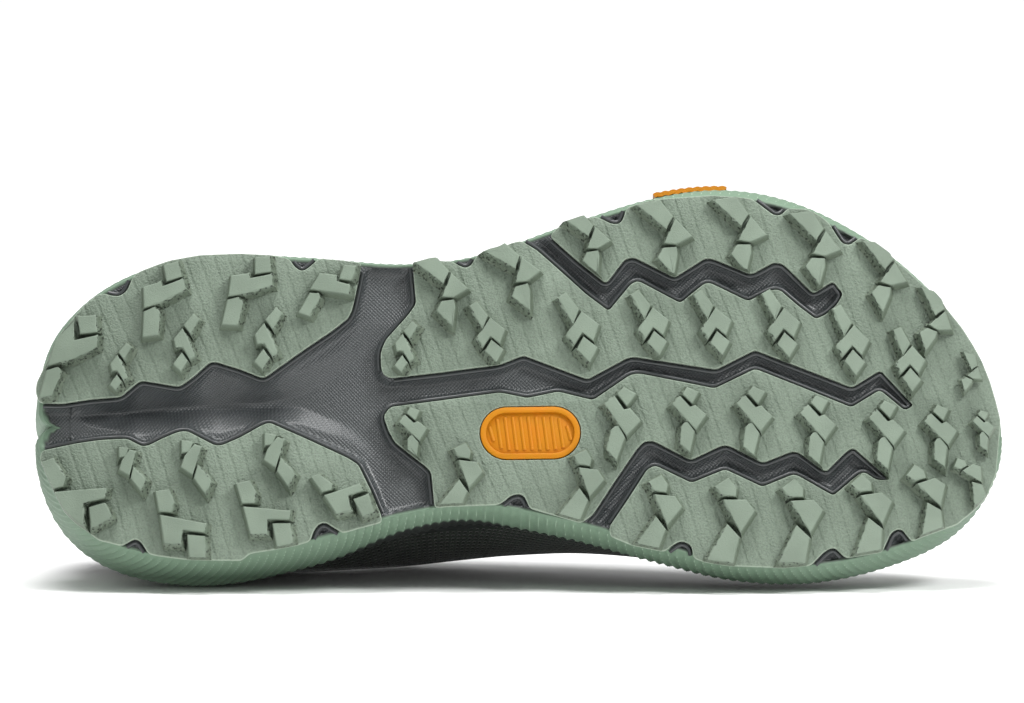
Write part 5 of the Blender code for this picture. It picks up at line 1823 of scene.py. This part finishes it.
def upper():
    """The upper: one closed wall of mesh with a padded collar, open at the collar, the throat and underneath."""
    grid = [upper_section(2 * k / UPPER_COLUMNS) for k in range(UPPER_COLUMNS)]
    mesh = grid_mesh("upper_mesh", grid, wrap_columns=True, wrap_rows=True)
    around = []
    up = []
    wraps = []
    for k, column in enumerate(grid):
        run = 0.0
        for j, point in enumerate(column):
            run += (point - column[max(j - 1, 0)]).length
            around.append(2 * SIDE_LENGTH * k / UPPER_COLUMNS)
            up.append(run)
            wraps.append(arch_wrap(2 * k / UPPER_COLUMNS, j / UPPER_ROWS) if j <= UPPER_ROWS else 0.0)
    store(mesh, "run_around", around)
    store(mesh, "run_up", up)
    store(mesh, "arch_wrap", wraps)
    item = link_object("upper_shell", mesh, "mesh", "lining")
    rows = len(grid[0])
    for face in mesh.polygons:
        face.material_index = int(min(corner % rows for corner in face.vertices) > UPPER_ROWS + 2)
    with editing(mesh) as shape:
        turn_out(shape)
    punch(item)
    dress(item, "upper", sharp=50)


def eyelet_places():
    return [turn for one in EYELET_TURNS for turn in (one, 2 - one)]


def eyelet_frame(turn, distance):
    """The place and turn of one eyelet, its own axis facing out."""
    facing = upper_normal(turn, EYELET_RISE).to_track_quat("Z", "Y").to_matrix().to_4x4()
    return Matrix.Translation(off_upper(turn, EYELET_RISE, distance)) @ facing


def punch(item):
    """Cuts the eyelets' holes through a piece."""
    shape = bmesh.new()
    for turn in eyelet_places():
        bmesh.ops.create_cone(shape, cap_ends=True, segments=20, radius1=EYELET_RADIUS, radius2=EYELET_RADIUS,
                              depth=6 * UPPER_WALL, matrix=eyelet_frame(turn, 0))
    pins = link_object("pins", mesh_of("pins", shape))
    cut = item.modifiers.new("cut", "BOOLEAN")
    cut.operation = "DIFFERENCE"
    cut.object = pins
    cut.solver = "EXACT"
    applied(item)
    bpy.data.objects.remove(pins)


def overlay_grid(turns, low, high, columns, rows):
    """A closed overlay between two turns and two rises: thin at its edges and full in its middle."""
    first, last = turns
    grid = []
    for k in range(columns + 1):
        turn = first + (last - first) * k / columns
        bottom = low(turn)
        top = high(turn)
        outer = []
        inner = []
        end = min(k, columns - k) / columns
        for j in range(rows + 1):
            rise = bottom + (top - bottom) * j / rows
            ease = min(1.0, 0.25 + 6 * min(j, rows - j) / rows) * min(1.0, 0.25 + 30 * end)
            bend = crease_depth(turn, rise)
            outer.append(off_upper(turn, rise, bend + OVERLAY_GAP * 0.5 + OVERLAY_THICKNESS * ease))
            inner.append(off_upper(turn, rise, bend - 0.0002))
        grid.append(outer + inner[::-1])
    return grid


def above_sidewall(turn):
    """The rise just above the sidewall's lip."""
    return rise_at_height(turn, sidewall_top(turn) + 3 * CLEARANCE)


def stitch_mesh():
    """One stitch: a short rounded stroke along x."""
    shape = bmesh.new()
    bmesh.ops.create_icosphere(shape, subdivisions=1, radius=0.5)
    bmesh.ops.scale(shape, vec=(0.72, 0.20, 0.20), verts=shape.verts)
    return mesh_of("stitch", shape)


def stitch_run(turns, rise, distance):
    """Places one stitch apart along a line on the upper, each with the way that it faces."""
    fine = 400
    first, last = turns
    points = []
    for k in range(fine + 1):
        turn = first + (last - first) * k / fine
        points.append((off_upper(turn, rise, distance), upper_normal(turn, rise)))
    run = [points[0]]
    travelled = 0.0
    for before, here in zip(points, points[1:]):
        travelled += (here[0] - before[0]).length
        if travelled >= sizes().stitch:
            run.append(here)
            travelled = 0.0
    return run


def toe_rise(turn):
    return 0.50 - 6.0 * (turn - 1.0) ** 2


def heel_rise(turn):
    return 0.66 - 5.0 * turn ** 2


def toe_cap():
    grid = overlay_grid(TOE_CAP_TURNS, above_sidewall, toe_rise, 90, 18)
    dress(link_object("toe_cap_film", closed_run("toe_cap_film", grid), "film"), "toe_cap")


def heel_counter():
    grid = overlay_grid(HEEL_COUNTER_TURNS, above_sidewall, heel_rise, 90, 24)
    item = link_object("heel_counter_film", closed_run("heel_counter_film", grid), "film")
    dress(item, "heel_counter")


def eyestay():
    """The band round the throat that carries the eyelets."""
    low, high = EYESTAY_RISES
    grid = overlay_grid(EYESTAY_TURNS, lambda turn: low, lambda turn: high, 220, 8)
    item = link_object("eyestay_band", closed_run("eyestay_band", grid), "eyestay")
    punch(item)
    dress(item, "eyestay")


def ring_mesh():
    """A small round ring about z, of unit radius."""
    sides = 20
    around = 8
    grid = []
    for k in range(sides):
        angle = 2 * math.pi * k / sides
        out = Vector((math.cos(angle), math.sin(angle), 0))
        turns = [2 * math.pi * j / around for j in range(around)]
        grid.append([out * (1 + 0.24 * math.cos(a)) + Vector((0, 0, 0.20 * math.sin(a))) for a in turns])
    points = [point for column in grid for point in column]
    return mesh_from("ring", points, side_faces(sides, around, wrap_columns=True, wrap_rows=True))


def eyelets():
    """A small moulded ring round every eyelet."""
    frames = [eyelet_frame(turn, OVERLAY_GAP * 0.5 + OVERLAY_THICKNESS) for turn in eyelet_places()]
    item = link_object("eyelet_rings", bpy.data.meshes.new("eyelet_rings"))
    places = [at.to_translation() for at in frames]
    turns = [tuple(at.to_euler()) for at in frames]
    repeat(item, ring_mesh(), places, turns, [1.0] * len(places), "eyestay", EYELET_RADIUS)
    dress(item, None)


def seams():
    """Stitches along the eyestay and the collar's topline."""
    runs = [
        stitch_run(EYESTAY_SEAM_TURNS, 0.868, OVERLAY_THICKNESS),
        stitch_run(EYESTAY_SEAM_TURNS, 0.972, OVERLAY_THICKNESS * 0.8),
        stitch_run(COLLAR_SEAM_TURNS, 0.90, 0.0002),
    ]
    places = []
    turns = []
    for run in runs:
        for (here, normal), (there, _) in zip(run, run[1:]):
            ahead = (there - here).normalized()
            side = normal.cross(ahead).normalized()
            places.append(here)
            turns.append(tuple(Matrix((ahead, side, ahead.cross(side))).transposed().to_euler()))
    item = link_object("seam_stitches", bpy.data.meshes.new("seam_stitches"))
    repeat(item, stitch_mesh(), places, turns, [1.0] * len(places), "thread", sizes().stitch)
    dress(item, None)


def tongue_section(turn, drop):
    """The tongue's section under the throat at one turn, from the lateral to the medial side."""
    lateral = [off_upper(turn, rise, -drop) for rise in TONGUE_RISES]
    medial = [off_upper(2 - turn, rise, -drop) for rise in TONGUE_RISES[::-1]]
    start = lateral[-1]
    end = medial[0]
    crown = (start + end) / 2 + Vector((0, 0, TONGUE_CROWN * (end - start).length))
    middle = [start.lerp(crown, 0.55) + (crown - start) * 0.05, crown, end.lerp(crown, 0.55)]
    return lateral + middle + medial


def tongue():
    """The padded tongue under the throat, standing past the top eyelets."""
    grid = [tongue_section(turn, UPPER_WALL + 2.5 * CLEARANCE) for turn in TONGUE_TURNS]
    last = grid[-1]
    crown = last[4]
    heading = (crown - grid[-2][4]).normalized()
    for k in (1, 2, 3):
        lift = heading * TONGUE_LENGTH * k / 3 + Vector((0, 0, TONGUE_RISE * (k / 3) ** 2))
        narrow = 1 - TONGUE_TAPER * (k / 3) ** 0.5
        grid.append([crown + (point - crown) * narrow + lift for point in last])
    item = link_object("tongue_padding", grid_mesh("tongue_padding", grid), "lining")
    thicken(item, TONGUE_THICKNESS, 1)
    soft = item.modifiers.new("soft", "SUBSURF")
    soft.levels = 3
    soft.render_levels = 3
    dress(applied(item), "tongue", sharp=0)


def insole():
    """The sock liner inside the upper."""
    count = INSOLE_POINTS
    points = []
    levels = ((0.0004, 0.0), (0.0, 0.15), (0.0, 0.85), (0.0006, 1.0), (0.004, 0.93))
    for inset, level in levels:
        outline = ring(lambda x: ledge(x) + UPPER_WALL + INSOLE_GAP + inset, count)
        points += [Vector((*p, footbed(p.x) + CLEARANCE + INSOLE_THICKNESS * level)) for p in outline]
    half = count // 2
    ladder = [(0, 1, count - 1)]
    ladder += [(k, k + 1, count - k - 1, count - k) for k in range(1, half - 1)]
    ladder.append((half - 1, half, half + 1))
    last = len(points) - count
    faces = ladder + [tuple(last + k for k in face) for face in ladder]
    faces += side_faces(len(levels), count, wrap_rows=True)
    dress(link_object("insole_liner", mesh_from("insole_liner", points, faces), "lining"), "insole", sharp=50)


def knot(turn, rise, distance, width=1.0):
    """One place of the lace on the upper, the way it faces there and its share of the full width."""
    return off_upper(turn, rise, distance), upper_normal(turn, rise), width


def lace_strand(side, lifted):
    """One half of the lace: its knots from the front bar up through every eyelet to the top one on its side."""
    turns = EYELET_TURNS[::-1]
    low = EYELET_RISE

    def at_side(which, turn):
        return turn if which == LATERAL else 2 - turn

    here = side
    knots = [knot(at_side(here, turns[0]), low, LACE_UNDER, 0.55)]
    for k in range(1, len(turns)):
        start = at_side(here, turns[k - 1])
        end = at_side(-here, turns[k])
        lean = (turns[k] - turns[k - 1]) * 0.25 * (1 if here == LATERAL else -1)
        if k > 1:
            knots += [knot(start, low, LACE_UNDER, 0.55), knot(start, low, LACE_OVER * 0.6, 0.6),
                      knot(start + lean * 0.3, low + 0.03, LACE_OVER, 0.9), knot(start + lean, 1.0, LACE_OVER)]
        else:
            knots.append(knot(start + lean, 1.0, LACE_UNDER * 0.8))
        edge_a = off_upper(start + lean, 1.0, LACE_OVER)
        edge_b = off_upper(end + lean, 1.0, LACE_UNDER)
        span = (edge_b - edge_a).length
        middle = (edge_a + edge_b) / 2 + Vector((0, 0, 0.10 * span + lifted))
        facing = (upper_normal(start, 1.0) + upper_normal(end, 1.0)).normalized()
        knots += [(middle, facing, 1.0), knot(end + lean, 1.0, LACE_UNDER * 0.75),
                  knot(end, low + 0.02, LACE_UNDER, 0.8)]
        here = -here
    end = at_side(here, turns[-1])
    return knots + [knot(end, low, LACE_UNDER, 0.55), knot(end, low, LACE_OVER * 0.7, 0.6),
                    knot(end, low + 0.035, LACE_OVER * 1.05, 0.85)]


def flat_lace(name, knots):
    """A flat woven ribbon along knots, each a place, the way it faces and its share of the full width."""
    centres = smooth_run([knot[0] for knot in knots], 8)
    facings = smooth_run([knot[1] for knot in knots], 8)
    widths = smooth_run([Vector((knot[2], 0, 0)) for knot in knots], 8)
    grid = []
    along = []
    aside = []
    travelled = 0.0
    for k, centre in enumerate(centres):
        ahead = centres[min(k + 1, len(centres) - 1)] - centres[max(k - 1, 0)]
        across = ahead.cross(facings[k]).normalized()
        up = across.cross(ahead).normalized()
        travelled += (centre - centres[max(k - 1, 0)]).length
        half = LACE_WIDTH / 2 * widths[k].x
        thick = LACE_THICKNESS / 2 * (1.6 - 0.6 * min(widths[k].x, 1))
        column = []
        for j in range(LACE_SIDES):
            angle = 2 * math.pi * j / LACE_SIDES
            flat = math.copysign(abs(math.cos(angle)) ** 0.6, math.cos(angle))
            full = math.copysign(abs(math.sin(angle)) ** 0.8, math.sin(angle))
            column.append(centre + across * half * flat + up * thick * full)
            along.append(travelled)
            aside.append(half * flat)
        grid.append(column)
    mesh = closed_run(name, grid)
    store(mesh, "run_along", along)
    store(mesh, "run_across", aside)
    return mesh


def front_bar():
    """The straight stretch of lace across the front eyelets."""
    turn = EYELET_TURNS[-1]
    stem = ((EYELET_RISE, -UPPER_WALL, 0.55), (EYELET_RISE, LACE_OVER * 0.7, 0.6),
            (EYELET_RISE + 0.035, LACE_OVER, 0.95))
    first = [knot(turn, *row) for row in stem]
    last = [knot(2 - turn, *row) for row in stem[::-1]]
    middle = (first[-1][0] + last[0][0]) / 2 + Vector((0, 0, FRONT_BAR_RISE))
    return first + [(middle, (first[-1][1] + last[0][1]).normalized(), 1.0)] + last


def lace():
    """The lace through every eyelet, its two halves crossing over the tongue and stopping at the top eyelets."""
    strands = [
        flat_lace("front_bar", front_bar()),
        flat_lace("first_half", lace_strand(LATERAL, 0.0)),
        flat_lace("second_half", lace_strand(MEDIAL, LACE_THICKNESS)),
    ]
    dress(link_object("lace_cord", joined_mesh("lace_cord", strands), "lace"), "lace", sharp=60)


def look_at(item, where, target):
    """Places a light or the camera, facing a target."""
    item.location = where
    item.rotation_euler = (target - where).to_track_quat("-Z", "Y").to_euler()


def area_light(row):
    """A square studio light that faces the shoe."""
    lamp = bpy.data.lights.new(row.name, "AREA")
    lamp.shape = "SQUARE"
    lamp.size = row.size
    lamp.energy = row.power
    look_at(link_object(row.name, lamp), row.where, LIT_SPOT)


def studio_camera():
    """A long lens at the photograph's angle, with the tread's middle where the photograph has it."""
    distance = PHOTO_SIZE[0] * PIXEL * LENS / SENSOR
    forward = Vector((0, math.cos(CAMERA_RISE), -math.sin(CAMERA_RISE)))
    up = Vector((0, math.sin(CAMERA_RISE), math.cos(CAMERA_RISE)))
    middle = LYING @ Vector((LENGTH / 2, 0, 0))
    aside = PHOTO_SIZE[0] / 2 - (PHOTO_HEEL + PHOTO_TOE) / 2
    target = middle + up * (PHOTO_MIDDLE - PHOTO_SIZE[1] / 2) * PIXEL + Vector((1, 0, 0)) * aside * PIXEL
    camera = bpy.data.cameras.new("studio_camera")
    camera.lens = LENS
    camera.clip_end = 50
    item = link_object("studio_camera", camera)
    look_at(item, target - forward * distance, target)
    bpy.context.scene.camera = item


def white_world():
    world = bpy.data.worlds.new("studio")
    world.use_nodes = True
    back = world.node_tree.nodes["Background"]
    back.inputs["Color"].default_value = (1, 1, 1, 1)
    back.inputs["Strength"].default_value = WORLD_STRENGTH
    bpy.context.scene.world = world


def floor():
    """A plain pale floor that runs out of view."""
    graph = Graph("studio_floor")
    place_socket = graph.add("ShaderNodeTexCoord", output=3)
    away = Value(graph, graph.add("ShaderNodeVectorMath", {"operation": "LENGTH"}, {0: place_socket}, output=1))
    glow = graph.blend(away.between(*GLOW_REACH), (0, 0, 0), (GLOW, GLOW, GLOW))
    material = graph.finish(Base_Color=(0.98, 0.98, 0.98), Roughness=0.8, Emission_Color=glow, Emission_Strength=1.0)
    bpy.ops.mesh.primitive_plane_add(size=FLOOR_SIZE, location=(0, 50, 0))
    item = bpy.context.object
    item.name = "studio_floor"
    item.data.transform(item.matrix_world)
    item.matrix_world = Matrix.Identity(4)
    item.data.materials.append(material)


def stage():
    """The white surroundings, the floor, the lights and the camera."""
    white_world()
    floor()
    for row in LIGHTS:
        area_light(row)
    bpy.context.scene.view_settings.view_transform = "Standard"
    studio_camera()


class SHOE_OT_stage(bpy.types.Operator):
    """Add the floor, the lights and the camera"""

    bl_idname = "shoe.stage"
    bl_label = "Camera And Light"

    def execute(self, context):
        stage()
        return {"FINISHED"}


class SHOE_OT_rubber_pods(bpy.types.Operator):
    """Make the three rubber pods with their lugs"""

    bl_idname = "shoe.rubber_pods"
    bl_label = "Rubber Pods"

    def execute(self, context):
        for name in PODS:
            outsole_pod(name)
        return {"FINISHED"}


class SHOE_OT_midsole(bpy.types.Operator):
    """Make the charcoal foam and the ribbed sidewall"""

    bl_idname = "shoe.midsole"
    bl_label = "Midsole"

    def execute(self, context):
        midsole_core()
        midsole_rim()
        return {"FINISHED"}


class SHOE_OT_orange_trim(bpy.types.Operator):
    """Make the sole's inlay and the side tab"""

    bl_idname = "shoe.orange_trim"
    bl_label = "Orange Trim"

    def execute(self, context):
        sole_inlay()
        side_tab()
        return {"FINISHED"}


class SHOE_OT_upper(bpy.types.Operator):
    """Make the mesh upper with its padded collar"""

    bl_idname = "shoe.upper"
    bl_label = "Upper"

    def execute(self, context):
        upper()
        return {"FINISHED"}


class SHOE_OT_overlays(bpy.types.Operator):
    """Make the toe cap, the heel counter, the eyestay, its eyelets and the seams"""

    bl_idname = "shoe.overlays"
    bl_label = "Overlays"

    def execute(self, context):
        for make in (toe_cap, heel_counter, eyestay, eyelets, seams):
            make()
        return {"FINISHED"}


class SHOE_OT_inside(bpy.types.Operator):
    """Make the tongue and the insole"""

    bl_idname = "shoe.inside"
    bl_label = "Inside"

    def execute(self, context):
        tongue()
        insole()
        return {"FINISHED"}


class SHOE_OT_lace(bpy.types.Operator):
    """Run the lace through its eyelets"""

    bl_idname = "shoe.lace"
    bl_label = "Lace"

    def execute(self, context):
        lace()
        return {"FINISHED"}


OPERATORS = (SHOE_OT_stage, SHOE_OT_rubber_pods, SHOE_OT_midsole, SHOE_OT_orange_trim, SHOE_OT_upper,
             SHOE_OT_overlays, SHOE_OT_inside, SHOE_OT_lace)


class SHOE_PT_panel(bpy.types.Panel):
    """Lists the shoe's pieces with their sizes and colours."""

    bl_label = "Trail Running Shoe"
    bl_idname = "SHOE_PT_panel"
    bl_space_type = "VIEW_3D"
    bl_region_type = "UI"
    bl_category = "Shoe"

    def draw(self, context):
        for group in (context.scene.shoe_sizes, context.scene.shoe_colours):
            for name in group.bl_rna.properties.keys():
                if name not in ("rna_type", "name"):
                    self.layout.prop(group, name)
        for made in OPERATORS:
            self.layout.operator(made.bl_idname)


CLASSES = (ShoeSizes, ShoeColours) + OPERATORS + (SHOE_PT_panel,)


def register():
    for one in CLASSES:
        bpy.utils.register_class(one)
    bpy.types.Scene.shoe_sizes = bpy.props.PointerProperty(type=ShoeSizes)
    bpy.types.Scene.shoe_colours = bpy.props.PointerProperty(type=ShoeColours)


def unregister():
    del bpy.types.Scene.shoe_colours
    del bpy.types.Scene.shoe_sizes
    for one in reversed(CLASSES):
        bpy.utils.unregister_class(one)


def main():
    register()
    bpy.ops.shoe.stage()
    bpy.ops.shoe.rubber_pods()
    bpy.ops.shoe.midsole()
    bpy.ops.shoe.orange_trim()
    bpy.ops.shoe.upper()
    bpy.ops.shoe.overlays()
    bpy.ops.shoe.inside()
    bpy.ops.shoe.lace()


if __name__ == "__main__":
    main()
